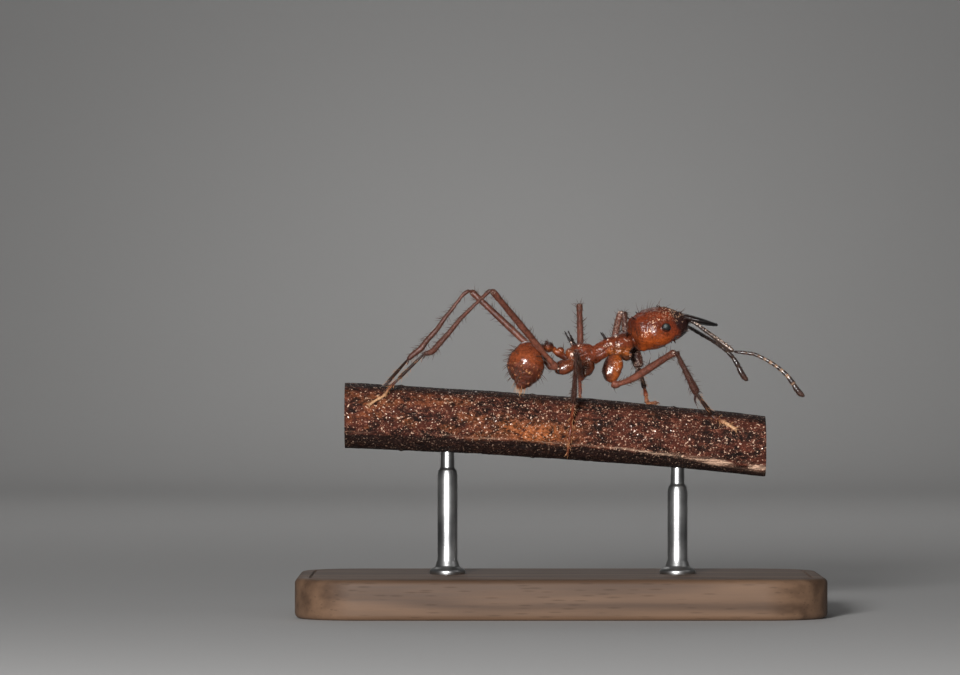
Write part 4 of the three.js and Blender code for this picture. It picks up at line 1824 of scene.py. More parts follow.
@dataclass
class Gaster:
    """The gaster: a hanging egg with one great plate, knobs on it, and three short plates."""

    stance: Stance
    egg: Profile = Profile(
        stations=((0, 0.17), (0.02, 0.22), (0.09, 0.4), (0.16, 0.51), (0.245, 0.62),
                  (0.32, 0.69), (0.4, 0.73), (0.48, 0.745), (0.553, 0.735), (0.63, 0.69),
                  (0.706, 0.61), (0.78, 0.5), (0.86, 0.37), (0.94, 0.235), (1, 0.12)),
        breadth=((0, 1), (0.25, 1.12), (0.4, 1.1), (0.5, 1.04), (0.63, 0.92), (0.78, 0.86),
                 (1, 0.86)), start=0.02, end=0.04)
    axis: Stations = (
        (-1.17, 10.87), (-1.23, 10.7), (-1.286, 10.42), (-1.346, 10.13), (-1.394, 9.85),
        (-1.471, 9.56), (-1.571, 9.27), (-1.651, 9.13), (-1.757, 9.02))
    plates: tuple[float, ...] = (0.77, 0.86, 0.93)
    knobs: int = 130

    def __post_init__(self) -> None:
        """Draws the egg's axis."""
        self.line = Line([self.stance.on_body(x, 0, z) for x, z in self.axis],
                         -self.stance.forward)

    def build(self) -> Form:
        """Models the egg, its plates and its knobs.

        Returns:
            The gaster's skin.
        """
        rings = self.egg.rings(self.line.length, 130)
        skin = Form.shaft("gaster_skin", rings, 128)
        straight = skin.points()
        share = straight[:, 2] / self.line.length
        skin.place(self.line.lay(straight))
        step = sum(-0.018 * ramp(share, at - 0.004, at + 0.012) for at in self.plates)
        lip = sum(0.007 * bell(share - at + 0.008, 0.012) for at in self.plates)
        near = self._knob_fall(share, straight)
        skin.push(step + lip + 0.03 * near * ramp(share, 0.2, 0.6))
        low = ramp(share, 0.42, 0.62)
        skin.push(grain_at(skin.points(), 0.22, 2) * (0.002 + 0.018 * low)
                  + grain_at(skin.points(), 0.095, 2) * (0.001 + 0.01 * low))
        edge = sum(0.3 * bell(share - at, 0.01) for at in self.plates)
        dusk = 0.36 * ramp(near, 0.5, 0.1) * low + edge + 0.14 * low
        skin.paint(Layer.DUSK, dusk - 0.5 * ramp(share, 0.93, 1))
        skin.paint(Layer.GLOW, 0.8 * bell(share - 0.3, 0.2) + ramp(share, 0.94, 1))
        skin.paint(Layer.CALM, np.maximum(1 - low, near))
        # Painted highlights: golden glints on the knobs of a band low on the egg.
        band = 0.8 * bell(share - 0.56, 0.09) + 0.45 * ramp(share, 0.6, 0.8)
        skin.paint(Layer.TIP, band * ramp(near, 0.05, 0.4))
        return skin

    def _knob_fall(self, share: Array, straight: Array) -> Array:
        """How near each vertex is to the top of a knob.

        Args:
            share: Each vertex's share of the egg's length.
            straight: Its place on the straight egg.

        Returns:
            1 on a knob's top, 0 off the knobs.
        """
        draw = np.random.default_rng(11)
        angle = np.arctan2(straight[:, 0], straight[:, 1])
        radius = np.hypot(straight[:, 0], straight[:, 1])
        near = np.zeros(len(share))
        for _ in range(self.knobs):
            at, turn = draw.beta(2.6, 1.6) * 0.86, draw.uniform(-math.pi, math.pi)
            size = draw.uniform(0.03, 0.055)
            swing = (angle - turn + math.pi) % (2 * math.pi) - math.pi
            away = np.hypot((share - at) * self.line.length, swing * radius)
            near = np.maximum(near, bell(away, size) * draw.uniform(0.5, 1))
        return near

    def dress(self, skin: Form, coat: Coat, gold: Coat) -> None:
        """Plants the long bristles of the gaster and the pale ones at its end.

        Args:
            skin: The gaster's skin.
            coat: The coat that takes the dark bristles.
            gold: The coat that takes the pale ones.
        """
        start, end = self.line.point(0), self.line.point(1)
        chart = Chart(start, end)
        lie = (end - start).normalized()

        def tail(points: Array, _: Array) -> Array:
            """The last plates only."""
            return ramp(to_segment(points, start, end)[1], 0.84, 0.95)

        def rear(points: Array, normals: Array) -> Array:
            """Everywhere, most of all on the back and towards the end."""
            behind = normals @ np.array(-self.stance.forward)
            return 0.4 + 0.6 * ramp(behind, -0.3, 0.6) * ramp(
                to_segment(points, start, end)[1], 0, 0.4)

        coat.sow(skin, Growth(80, 0.3, 0.35, 0.012, 22, 0.2), chart, lie, rear)
        coat.sow(skin, Growth(50, 0.1, 0.3, 0.008, 50), chart, lie)
        gold.sow(skin, Growth(20, 0.24, 0.4, 0.013, 30), chart, lie, tail)


# --- The legs ---


@dataclass
class Leg:
    """One leg, from its hip to its claws, along the line of its solids."""

    stance: Stance
    perch: Perch
    place: Place
    side: Side
    COXA_SIDES: ClassVar[int] = 11
    GIRTHS: ClassVar[dict[Place, tuple[float, float, float]]] = {
        Place.FRONT: (1.04, 1.32, 1.35), Place.MIDDLE: (0.9, 0.95, 1),
        Place.HIND: (0.94, 1, 1)}
    #: Rows of share along, and offset ahead and up, of the points a limb bends through.
    BENDS: ClassVar[dict[str, Rows]] = {
        "femur_front_right": ((0.04, 0.06, -0.12), (0.13, 0, -0.19), (0.28, 0, -0.24),
                              (0.44, 0, -0.21), (0.6, 0, -0.15), (0.75, 0, -0.085),
                              (0.9, 0, -0.03)),
        "femur_front_left": ((0.45, -0.06, 0), (0.65, -0.137, 0), (0.8, -0.14, 0),
                             (0.87, -0.125, 0), (0.945, -0.076, 0)),
        "tibia_front_left": ((0.155, -0.05, 0), (0.33, -0.11, 0), (0.5, -0.05, 0),
                             (0.7, 0, 0)),
        "tibia_hind_right": ((0.15, -0.01, 0.01), (0.45, 0, 0), (0.6, 0.05, -0.05),
                             (0.75, 0.083, -0.086), (0.84, 0.1, -0.1), (0.92, 0.11, -0.11)),
        "tibia_hind_left": ((0.06, -0.05, 0.05), (0.13, -0.06, 0.054), (0.27, -0.022, 0.02),
                            (0.41, 0, 0), (0.55, 0.048, -0.043), (0.69, 0.045, -0.04),
                            (0.82, 0.07, -0.065), (0.92, 0.02, -0.02)),
    }
    coxa: Profile = Profile(
        stations=((0, 0.45), (0.1, 0.72), (0.32, 0.95), (0.58, 0.97), (0.78, 0.84),
                  (0.92, 0.6), (1, 0.45)), start=0.1, end=0.1)
    femur: Profile = Profile(
        stations=((0, 0.14), (0.035, 0.17), (0.07, 0.15), (0.13, 0.11), (0.3, 0.135),
                  (0.55, 0.145), (0.85, 0.13), (0.95, 0.135), (1, 0.115)),
        start=0.03, end=0.035)
    tibia: Profile = Profile(
        stations=((0, 0.07), (0.05, 0.085), (0.1, 0.07), (0.3, 0.076), (0.5, 0.092),
                  (0.7, 0.108), (0.86, 0.12), (0.95, 0.105), (1, 0.085)),
        start=0.03, end=0.03)
    foot: Profile = Profile(
        stations=((0, 0.062), (0.1, 0.068), (0.45, 0.062), (0.8, 0.06), (1, 0.05)),
        start=0.01, end=0.02)

    def __post_init__(self) -> None:
        """Reads the joints and the foot's line from the solids."""
        solids = self.stance.solids
        self.word = f"{self.place.value}_{self.side.word}"
        poles = solids.poles(f"coxa_{self.word}", self.COXA_SIDES)
        self.trochanter = poles[0]
        self.hip = max(poles, key=lambda pole: (pole - self.trochanter).length)
        self.knee = solids.far(f"femur_{self.word}", self.trochanter)
        self.ankle = solids.far(f"tibia_{self.word}", self.knee)
        toe = solids.far(f"tarsus_{self.word}", self.ankle)
        spread = solids.points(f"coxa_{self.word}")
        self.girth = float(to_segment(spread, self.hip, self.trochanter)[0].max())
        cuts = solids.middle_line(f"tarsus_{self.word}", self.ankle, toe, 7)
        path = [self.perch.settle(point, 0.055) for point in cuts[1:]]
        self.foot_line = Line([self.ankle, *path[1:]])
        self.out = (self.knee - self.stance.on_body(self.hip.x, 0, self.hip.z)).normalized()
        self.girths = self.GIRTHS[self.place]
        self.stout = 1.45 if self.word == "front_left" else 1
        self.femur_line = self._bent("femur", self.trochanter, self.knee)
        self.tibia_line = self._bent("tibia", self.knee, self.ankle)

    def _bent(self, part: str, start: Vector, end: Vector) -> Line:
        """The line of a femur or tibia, with its own small bends.

        Args:
            part: Which of the two it is.
            start: Its first end.
            end: Its other end.

        Returns:
            The line.
        """
        run = (end - start).normalized()
        above = (self.out - run * self.out.dot(run)).normalized()
        bends = self.BENDS.get(f"{part}_{self.word}", ((0.5, 0, 0),))
        knots = [start.lerp(end, share) + Vector((ahead, 0, rise))
                 for share, ahead, rise in bends]
        return Line([start, *knots, end], above)

    def build_coxa(self) -> Form:
        """Models the hip joint, an egg with a collar at each end.

        Returns:
            The coxa.
        """
        slim = 0.84 if self.place is Place.MIDDLE else 0.95
        shape = self.coxa.times(self.girth * slim)
        sag = {Place.FRONT: -0.06, Place.MIDDLE: -0.06, Place.HIND: 0}[self.place]
        drop = -0.04 if self.place is Place.HIND else 0
        outward = 0.14 * self.side.value
        line = Line([self.hip, self.hip.lerp(self.trochanter, 0.3) + Vector((0, outward, 0)),
                     self.hip.lerp(self.trochanter, 0.65) + Vector((sag, 0.7 * outward, drop)),
                     self.trochanter], self.out)
        coxa = Form.limb(f"coxa_skin_{self.word}", line, shape, 48, 48)
        _, share = to_segment(coxa.points(), self.hip, self.trochanter)
        facing = coxa.normals() @ np.array(self.stance.forward)
        keel = bell(facing + 0.72, 0.16) * ramp(share, 0.05, 0.25) * ramp(share, 0.95, 0.8)
        coxa.push(0.02 * keel + grain_at(coxa.points(), 0.28, 2) * 0.022
                  + grain_at(coxa.points(), 0.12, 2) * 0.006)
        # Faces turned back or forward are painted darker, painted shade; the two ends are darker
        # joints.
        dusk = (0.8 * ramp(facing, -0.6, -0.8) + 0.4 * ramp(facing, 0.75, 0.95)
                + 0.3 * ramp(share, 0.14, 0.02) + 0.2 * ramp(share, 0.8, 1))
        coxa.paint(Layer.DUSK, dusk * (0.3 if self.word == "front_left" else 1))
        # Patches of painted highlight on the near face.
        spots = {Place.FRONT: ((2.2, 9.95, 0.1, 0.15), (2.3, 9.78, 0.05, 0.08),
                               (1.98, 9.92, 0.035, 0.1), (1.93, 9.78, 0.035, 0.1),
                               (1.88, 9.64, 0.035, 0.1), (2.4, 10.12, 0.08, 0.05)),
                 Place.MIDDLE: ((1.1, 10.08, 0.1, 0.07), (0.99, 9.74, 0.05, 0.24)),
                 Place.HIND: ((-0.1, 9.83, 0.07, 0.06), (0.3, 9.95, 0.16, 0.04))}
        near = self.side.value * coxa.normals()[:, 1]
        glints = 1.4 * patches(coxa.points(), spots[self.place])
        coxa.paint(Layer.TIP, glints * ramp(near, 0.1, 0.4))
        amber = 1 if self.place is Place.FRONT else 0.15
        coxa.paint(Layer.GLOW, amber * ramp(facing, -0.6, 0.4))
        coxa.paint(Layer.CALM, 0.3)
        return coxa

    def build_femur(self) -> Form:
        """Models the small ring joint and the long femur as one.

        Returns:
            The femur.
        """
        profile = self.femur.times(self.girths[0])
        femur = Form.limb(f"femur_skin_{self.word}", self.femur_line, profile, 80, 28)
        _, share = to_segment(femur.points(), self.trochanter, self.knee)
        far = 1 - share
        femur.push(-0.015 * bell(share - 0.085, 0.012) + 0.012 * bell(far - 0.03, 0.02)
                   + grain_at(femur.points(), 0.16, 2) * 0.01)
        femur.paint(Layer.DUSK, 0.25 * bell(share - 0.085, 0.02) + 0.5 * ramp(far, 0.06, 0.01))
        femur.paint(Layer.GLOW, ramp(share, 0.75, 0.1))
        femur.paint(Layer.CALM, ramp(far, 0.05, 0.03))
        # Painted highlights: speckled glints on the far front femur and a pale spot on the knee.
        spark = 0.22 if self.word == "front_left" else 0
        bright = 0.8 if self.place is Place.FRONT else 0.3
        femur.paint(Layer.TIP, spark + bright * ramp(far, 0.045, 0.03) * ramp(far, 0, 0.012))
        return femur

    def build_tibia(self) -> Form:
        """Models the tibia with its spur.

        Returns:
            The tibia.
        """
        profile = self.tibia.times(self.girths[1] * self.stout)
        tibia = Form.limb("tibia", self.tibia_line, profile, 70, 24)
        run = (self.ankle - self.knee).normalized()
        inner = -self.stance.forward if self.place is Place.FRONT else -self.out
        under = (inner - run * inner.dot(run)).normalized()
        root = self.ankle - run * 0.06
        size = 1.7 if self.place is Place.FRONT else 1
        spur = Line([root, root + (run * 0.12 + under * 0.1) * size,
                     root + (run * 0.26 + under * 0.13) * size], self.out)
        point = Profile.spike(0.035 * size, 0.026 * size, 0.008)
        parts = [tibia, Form.limb("spur", spur, point, 12, 10)]
        for turn in (-1, 1):
            side = run.cross(under) * turn
            foot = self.ankle - run * 0.07 + side * 0.06
            comb = Thorn(foot, foot + run * 0.15 + side * 0.05, 0.025)
            parts.append(Form.thorn(comb, 0.2))
        tibia = Form.gather(f"tibia_skin_{self.word}", parts)
        _, share = to_segment(tibia.points(), self.knee, self.ankle)
        tibia.push(grain_at(tibia.points(), 0.15, 2) * 0.013 * ramp(share, 1, 0.97))
        dark = {Place.FRONT: 0.65, Place.MIDDLE: 0.8, Place.HIND: 0.3}[self.place]
        tibia.paint(Layer.DUSK, dark + 0.4 * ramp(share, 0.1, 0) + 0.4 * ramp(share, 0.92, 1))
        tibia.paint(Layer.GLOW, ramp(share, 0.3, 0) * 0.5)
        # Painted highlights: sparse speckled glints.
        spark = {"front_left": 0.25, "middle_right": 0.05}.get(self.word, 0.06)
        tibia.paint(Layer.TIP, spark * np.ones(len(share)))
        return tibia

    def build_foot(self) -> Form:
        """Models the foot: one long joint, four short ones, two claws and a pad.

        Returns:
            The foot.
        """
        cuts = np.array([0, 0.47, 0.64, 0.77, 0.86, 1])
        shape = np.array([(0, 0.62), (0.06, 0.8), (0.4, 0.9), (0.8, 1.12), (0.93, 1.18),
                          (0.99, 0.7)])
        share, half = jointed(cuts, shape)
        half = through(self.foot.stations, share) * half
        half = half * self.girths[2]
        half[0], half[-1] = half[0] * 0.3, half[-1] * 0.4
        rings = np.stack([share * self.foot_line.length, half, half], 1)
        foot = Form.shaft("foot", rings, 14)
        foot.place(self.foot_line.lay(foot.points()))
        tip, run = self.foot_line.point(0.985), self.foot_line.direction(1)
        out = tip - self.perch.centre(tip.x)
        out = (out - run * out.dot(run)).normalized()
        side = run.cross(out)
        parts = [foot, Form.ball(tip + run * 0.03 - out * 0.01, (0.05, 0.04, 0.03))]
        for turn in (-1, 1):
            spread = side * turn
            claw = Line([tip, tip + run * 0.08 + spread * 0.055 + out * 0.02,
                         tip + run * 0.15 + spread * 0.09 - out * 0.035], out)
            parts.append(Form.limb("claw", claw, Profile.spike(0.028, 0.02, 0.006), 12, 8))
        foot = Form.gather(f"foot_skin_{self.word}", parts)
        _, along = to_segment(foot.points(), self.ankle, tip)
        dark = 0.1 if self.place is Place.MIDDLE else 0.95
        foot.paint(Layer.DUSK, dark * ramp(along, 0.75, 0.45) + 0.3 * ramp(along, 0.97, 1))
        gold = {"front_left": 0.2, "middle_right": 0.1}.get(self.word, 0.85)
        foot.paint(Layer.GLOW, gold * ramp(along, 0.6, 0.85))
        return foot

    def dress(self, parts: Sequence[Form], coat: Coat, gold: Coat) -> None:
        """Plants dark bristles on the leg and golden ones on its foot.

        Args:
            parts: The coxa, the femur, the tibia and the foot.
            coat: The coat that takes the dark bristles.
            gold: The coat that takes the golden ones.
        """
        tip = self.foot_line.point(1)
        rows = ((self.hip, Growth(8, 0.15, 0.4, 0.01, 40), coat),
                (self.trochanter, Growth(84, 0.22, 0.45, 0.011, 34), coat),
                (self.knee, Growth(96, 0.2, 0.4, 0.011, 34), coat),
                (self.ankle, Growth(70, 0.13, 0.35, 0.009, 46), gold))
        ends = [self.trochanter, self.knee, self.ankle, tip]
        for k, (form, (start, growth, taker), end) in enumerate(zip(parts, rows, ends)):
            chart = Chart(start, end, 0.02 + 0.24 * k, 0.02 + 0.24 * (k + 1) - 0.02)
            taker.sow(form, growth, chart, (end - start).normalized())


# --- Perch and stand ---


@dataclass
class Twig:
    """The cut twig: a bent, crusted stick with fissures, scales and two sawn ends."""

    perch: Perch
    sides: int = 44
    rings: int = 96
    refine: int = 2
    # Places along X, with how high round the twig the painted shade of the belly and the pale fibre
    # line reach.
    BRINK: ClassVar[Stations] = ((-8.6, 0.52), (0, 0.5), (2.5, 0.52), (4, 0.58), (6, 0.68),
                                 (8.2, 0.76))

    def build(self) -> Form:
        """Models the bark.

        Returns:
            The bark, in millimetres, with its cut ends.
        """
        perch = self.perch
        first, last = perch.stations[0], perch.stations[-1]
        at = np.linspace(first, last, self.rings)
        wide = np.interp(at, perch.stations, perch.radius)
        rings = np.stack([at - first, wide, wide], 1)
        bark = Form.shaft("twig_bark", rings, self.sides)
        bark.modify("SUBSURF", subdivision_type="SIMPLE", levels=self.refine,
                    render_levels=self.refine)
        straight = bark.points()
        x = straight[:, 2] + first
        angle = np.arctan2(straight[:, 1], straight[:, 0])
        reach = np.hypot(straight[:, 0], straight[:, 1])
        radius = np.interp(x, perch.stations, perch.radius)
        skin = np.where(reach > 0.7 * radius, radius / np.maximum(reach, TINY), 1)
        relief = self._relief(x, angle)
        edge = ramp(np.minimum(x - first, last - x), 0, 0.12)
        full = reach * skin + np.where(reach > 0.7 * radius, relief * edge - 0.03, 0)
        height = np.interp(x, perch.stations, perch.height)
        bark.place(np.stack([x, full * np.sin(angle), height + full * np.cos(angle)], 1))
        self._shade(bark, x, angle, relief)
        return bark

    def _relief(self, x: Array, angle: Array) -> Array:
        """The height of the bark's surface at places along and round the twig.

        Args:
            x: Places along the twig.
            angle: How far round it they are.

        Returns:
            The height at each place.
        """
        round_ = np.stack([np.cos(angle) * 1.28, np.sin(angle) * 1.28], 1)
        spots = np.column_stack([x, round_])
        near = 0.35 + 0.65 * ramp(np.abs(np.cos(angle)), 0.95, 0.7)
        wave = grain_at(spots, (3.2, 1.6, 1.6), 2) * 0.03
        plates = grain_at(spots + 9, (0.5, 0.3, 0.3), 4) * 0.03 * near
        fissure = -0.035 * bell(grain_at(spots + 31, (1.6, 0.3, 0.3), 2), 0.06) * near
        grit = grain_at(spots + 57, 0.085, 3) * 0.024 * near
        flake = 0.07 * bell(x - 3.7, 0.4) * bell(np.abs(angle + 0.85) - 0.04, 0.16)
        ring = 0.035 * sum(bell(x - at, 0.09) for at in (-6.35, -1.1, 4.55))
        return wave + plates + fissure + grit + flake + ring

    def _shade(self, bark: Form, x: Array, angle: Array, relief: Array) -> None:
        """Paints the painted shade of the top, belly and hollows, the rusty patches and the rings
        of the ends.

        Args:
            bark: The bark.
            x: Each vertex's place along the twig.
            angle: How far round it is.
            relief: How high the crust is there.
        """
        above, near = np.cos(angle), -np.sin(angle)
        spots = np.column_stack([x, np.cos(angle) * 1.28, np.sin(angle) * 1.28])
        stray = grain_at(spots + 5, (1.3, 0.6, 0.6), 3)
        brink = through(self.BRINK, x) + 0.05 * stray
        # Painted shade: dark bands along the top and the belly, and darker hollows.
        dusk = 0.85 * ramp(above + 0.06 * stray, 0.72, 0.9) + 0.93 * ramp(above + brink, 0, -0.07)
        dusk = most(dusk, 0.5 * ramp(relief, 0, -0.06))
        belt = bell(x + 0.9, 1.3) * bell(above + 0.2, 0.3) * ramp(near, 0, 0.5)
        rust = 0.3 * ramp(stray, -0.1, 0.5) * ramp(x, 4, -2) + belt
        rust = rust + 0.15 * ramp(relief, 0.02, 0.08)
        fibre = bell(above + brink - 0.03, 0.02 + 0.07 * ramp(x, 2, 8))
        fibre = 1.3 * fibre * (0.35 + 0.65 * ramp(x, 1, 5)) * ramp(stray, -0.6, 0)
        bark.paint(Layer.DUSK, dusk - 0.8 * fibre)
        bark.paint(Layer.GLOW, rust)
        bark.paint(Layer.TIP, fibre)
        points = bark.points()
        centre = np.interp(points[:, 0], self.perch.stations, self.perch.height)
        bark.paint(Layer.CALM, np.hypot(points[:, 1], points[:, 2] - centre) / 1.35)

    def dress(self, bark: Form, end_grain: Material) -> None:
        """Gives the two sawn faces their own wood.

        Args:
            bark: The finished bark piece, in metres.
            end_grain: The wood of the cut faces.
        """
        data = bark.thing.data
        data.materials.append(end_grain)
        for face in data.polygons:
            face.material_index = int(abs(face.normal.x) > 0.9 and self._inner(face.center))

    def _inner(self, centre: Vector) -> bool:
        """Whether a face's middle lies within the wood, inside the bark's ring."""
        axis = self.perch.centre(centre.x / MILLIMETRE)
        offset = Vector((0, centre.y / MILLIMETRE, centre.z / MILLIMETRE - axis.z))
        return offset.length < 0.9 * self.perch.reach(axis.x)


@dataclass
class Stand:
    """The plain stand: a softened hardwood base and two turned steel rods."""

    perch: Perch
    corner: float = 2.6
    bevel: float = 0.22
    rod: float = 0.4
    collar: float = 0.72

    def build_base(self) -> Form:
        """Models the base from a block: corners, edges, a groove round its top, a plinth foot.

        Returns:
            The base.
        """
        low, high = (Vector(corner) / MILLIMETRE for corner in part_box("stand_base"))
        Form.clear()
        bpy.ops.mesh.primitive_cube_add(size=1, location=(low + high) / 2)
        bpy.context.active_object.scale = high - low
        base = Form.adopt("base_block")
        base.edit("EDGE")
        base.select_edges(lambda a, b: abs(a.x - b.x) + abs(a.y - b.y) < TOUCH)
        bpy.ops.mesh.bevel(offset=self.corner, segments=12, affect="EDGES")
        base.select_faces(lambda face: face.normal.z > 0.9)
        bpy.ops.mesh.inset(thickness=0.55, depth=0)
        bpy.ops.mesh.inset(thickness=0.06, depth=-0.06)
        bpy.ops.mesh.inset(thickness=0.06, depth=0.06)
        base.select_faces(lambda face: face.normal.z < -0.9)
        bpy.ops.mesh.inset(thickness=0.3, depth=0)
        bpy.ops.mesh.extrude_region_move(TRANSFORM_OT_translate={"value": (0, 0, 0.12)})
        base.select_edges(lambda a, b: (
            abs(a.z - b.z) < TOUCH and min(abs(a.z - high.z), abs(a.z - low.z)) < TOUCH
            and self._outer(a, high) and self._outer(b, high)))
        bpy.ops.mesh.bevel(offset=self.bevel, segments=4, affect="EDGES")
        base.leave()
        return base

    def _outer(self, point: Vector, high: Vector) -> bool:
        """Whether a point lies on the block's outer outline."""
        x, y = abs(point.x), abs(point.y)
        if x > high.x - self.corner + TOUCH and y > high.y - self.corner + TOUCH:
            reach = math.hypot(x - high.x + self.corner, y - high.y + self.corner)
            return reach > self.corner - 0.05
        return x > high.x - 0.01 or y > high.y - 0.01

    def build_rod(self, word: str) -> Form:
        """Models a rod with a collar at its foot and a neck under the twig.

        Args:
            word: Which rod, front or rear.

        Returns:
            The rod.
        """
        low, high = (Vector(corner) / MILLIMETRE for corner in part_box(f"stand_rod_{word}"))
        x = (low.x + high.x) / 2
        top = self.perch.centre(x).z - 0.6 * self.perch.reach(x)
        foot, r, c = low.z - 0.02, self.rod, self.collar
        turned = ((foot, c), (foot + 0.16, c), (foot + 0.24, c - 0.07), (foot + 0.3, c - 0.2),
                  (foot + 0.34, r + 0.08), (foot + 0.5, r + 0.04), (foot + 0.6, r),
                  (top - 1.4, r), (top - 1.2, r - 0.04), (top - 1.1, r - 0.12),
                  (top - 0.3, r - 0.14), (top, r - 0.2))
        rings = np.array([(z, wide, wide) for z, wide in turned])
        rod = Form.shaft(f"rod_{word}", rings, 40)
        rod.modify("BEVEL", width=0.025, segments=2, limit_method="ANGLE",
                   angle_limit=math.radians(25))
        rod.place(rod.points() + np.array([x, 0, 0]))
        return rod


# --- The studio ---


@dataclass
class Studio:
    """The set: seamless pale paper, one soft flash, faint fill and the camera."""

    aim: Vector
    distance: float = 250.0
    field: float = 38.4
    sensor: float = 36.0
    wall: float = 340.0
    reach: float = 700.0
    sweep: float = 120.0
    halo: float = 12.0
    #: Name, degrees to the left of the camera, degrees up, distance, width and watts.
    LAMPS: ClassVar[tuple[tuple[str, float, float, float, float, float], ...]] = (
        ("key", 11, 9, 200, 36, 0.53), ("rim", 170, 42, 300, 150, 0.045),
        ("fill", -70, 35, 300, 140, 0.04))

    def build_set(self, paper: Material) -> None:
        """Makes the floor and the backdrop as one sheet with a curve between them.

        Args:
            paper: What the sheet is made of.
        """
        Form.clear()
        bpy.ops.mesh.primitive_plane_add(size=2 * self.reach)
        sheet = Form.adopt("studio_paper")
        far = self.wall - self.sweep
        points = sheet.points()
        points[points[:, 1] > 0, 1] = far
        sheet.place(points)
        sheet.edit("EDGE")
        sheet.select_edges(lambda a, b: min(a.y, b.y) > far - TOUCH)
        bpy.ops.mesh.spin(steps=24, angle=-math.pi / 2, center=(0, far, self.sweep),
                          axis=(1, 0, 0))
        bpy.ops.mesh.extrude_region_move(
            TRANSFORM_OT_translate={"value": (0, 0, self.reach)})
        sheet.leave()
        sheet.coat(paper)

    def spot(self, azimuth: float, rise: float, away: float) -> Vector:
        """A place round the ant: degrees to the left of the camera, degrees up, distance."""
        a, e = math.radians(azimuth), math.radians(rise)
        back = Vector((-math.sin(a) * math.cos(e), -math.cos(a) * math.cos(e), math.sin(e)))
        return self.aim + back * away

    def lamp(self, name: str, place: Vector, target: Vector, size: float, power: float) -> None:
        """Hangs a soft round lamp that the camera can't see.

        Args:
            name: The lamp's name.
            place: Where it hangs, in millimetres.
            target: What it shines at, in millimetres.
            size: Its width in millimetres.
            power: Its power in watts.
        """
        data = bpy.data.lights.new(name, "AREA")
        data.shape, data.size, data.energy = "DISK", size * MILLIMETRE, power
        lamp = bpy.data.objects.new(name, data)
        lamp.location = place * MILLIMETRE
        lamp.rotation_mode = "QUATERNION"
        lamp.rotation_quaternion = (place - target).to_track_quat("Z", "Y")
        lamp.visible_camera = False
        bpy.context.scene.collection.objects.link(lamp)

    def light(self) -> None:
        """Hangs the lamps and sets the faint light from all round."""
        for name, azimuth, rise, away, size, power in self.LAMPS:
            self.lamp(name, self.spot(azimuth, rise, away), self.aim, size, power)
        tilt = math.acos(1 - self.halo / self.sweep)
        x = self.aim.x + 3
        paper = Vector((x, self.wall - self.sweep * (1 - math.sin(tilt)), self.halo))
        above = Vector((0, -math.sin(tilt), math.cos(tilt))) * 62
        self.lamp("halo", paper + above, paper, 24, 0.0108)
        self.lamp("ground", Vector((x, 130, 90)), Vector((x, 130, 0)), 80, 0.022)
        world = bpy.data.worlds.new("room")
        world.use_nodes = True
        ground = world.node_tree.nodes["Background"]
        ground.inputs["Color"].default_value = (0.96, 0.98, 1, 1)
        ground.inputs["Strength"].default_value = 0.04
        bpy.context.scene.world = world

    def shoot(self) -> None:
        """Sets up the camera, level with the ant's head, and how tones are shown."""
        data = bpy.data.cameras.new("camera")
        data.sensor_width = self.sensor
        data.lens = self.sensor * self.distance / self.field
        data.clip_start, data.clip_end = 0.001, 10
        camera = bpy.data.objects.new("camera", data)
        camera.location = (self.aim - Vector((0, self.distance, 0))) * MILLIMETRE
        camera.rotation_euler = (math.pi / 2, 0, 0)
        bpy.context.scene.collection.objects.link(camera)
        bpy.context.scene.camera = camera
        bpy.context.scene.view_settings.view_transform = "Standard"


# --- The whole model ---


HEAD_SHELL = Shell("head shell", (0.215, 0.038, 0.013), (0.41, 0.08, 0.017),
                   (0.02, 0.008, 0.007), rough=0.32, gloss=0.12, lacquer=0.04,
                   shine=(0.86, 0.52, 0.34))
TRUNK_SHELL = Shell("trunk shell", (0.165, 0.034, 0.013), (0.32, 0.085, 0.02),
                    (0.012, 0.005, 0.004), rough=0.29, gloss=0.42, lacquer=0.02)
GASTER_SHELL = Shell("gaster shell", (0.18, 0.038, 0.016), (0.27, 0.062, 0.02),
                     (0.03, 0.011, 0.007), pebble=0.085, depth=0.006, gloss=1, rough=0.31,
                     shine=(0.8, 0.4, 0.17))
COXA_SHELL = Shell("coxa shell", (0.14, 0.037, 0.018), (0.38, 0.088, 0.018),
                   (0.01, 0.004, 0.003), rough=0.24, gloss=0.6, lacquer=0.05)
LEG_SHELL = Shell("leg shell", (0.125, 0.042, 0.027), (0.2, 0.066, 0.04),
                  (0.028, 0.008, 0.006), depth=0.01, rough=0.38, gloss=0.3, lacquer=0)
FOOT_SHELL = Shell("foot shell", (0.17, 0.032, 0.012), (0.66, 0.38, 0.2),
                   (0.018, 0.008, 0.005), depth=0.008, rough=0.38, gloss=0.4, lacquer=0)
FEELER_SHELL = Shell("feeler shell", (0.11, 0.05, 0.034), (0.62, 0.38, 0.24),
                     (0.013, 0.007, 0.006), depth=0.008, rough=0.22)
JAW_SHELL = Shell("jaw shell", (0.022, 0.008, 0.006), (0.05, 0.017, 0.009),
                  (0.005, 0.003, 0.003), rough=0.3, gloss=0.5)
DARK_HAIR = Horn("dark bristle", (0.035, 0.016, 0.011), (0.16, 0.09, 0.06))
GOLD_HAIR = Horn("golden bristle", (0.26, 0.075, 0.025), (0.92, 0.5, 0.24))


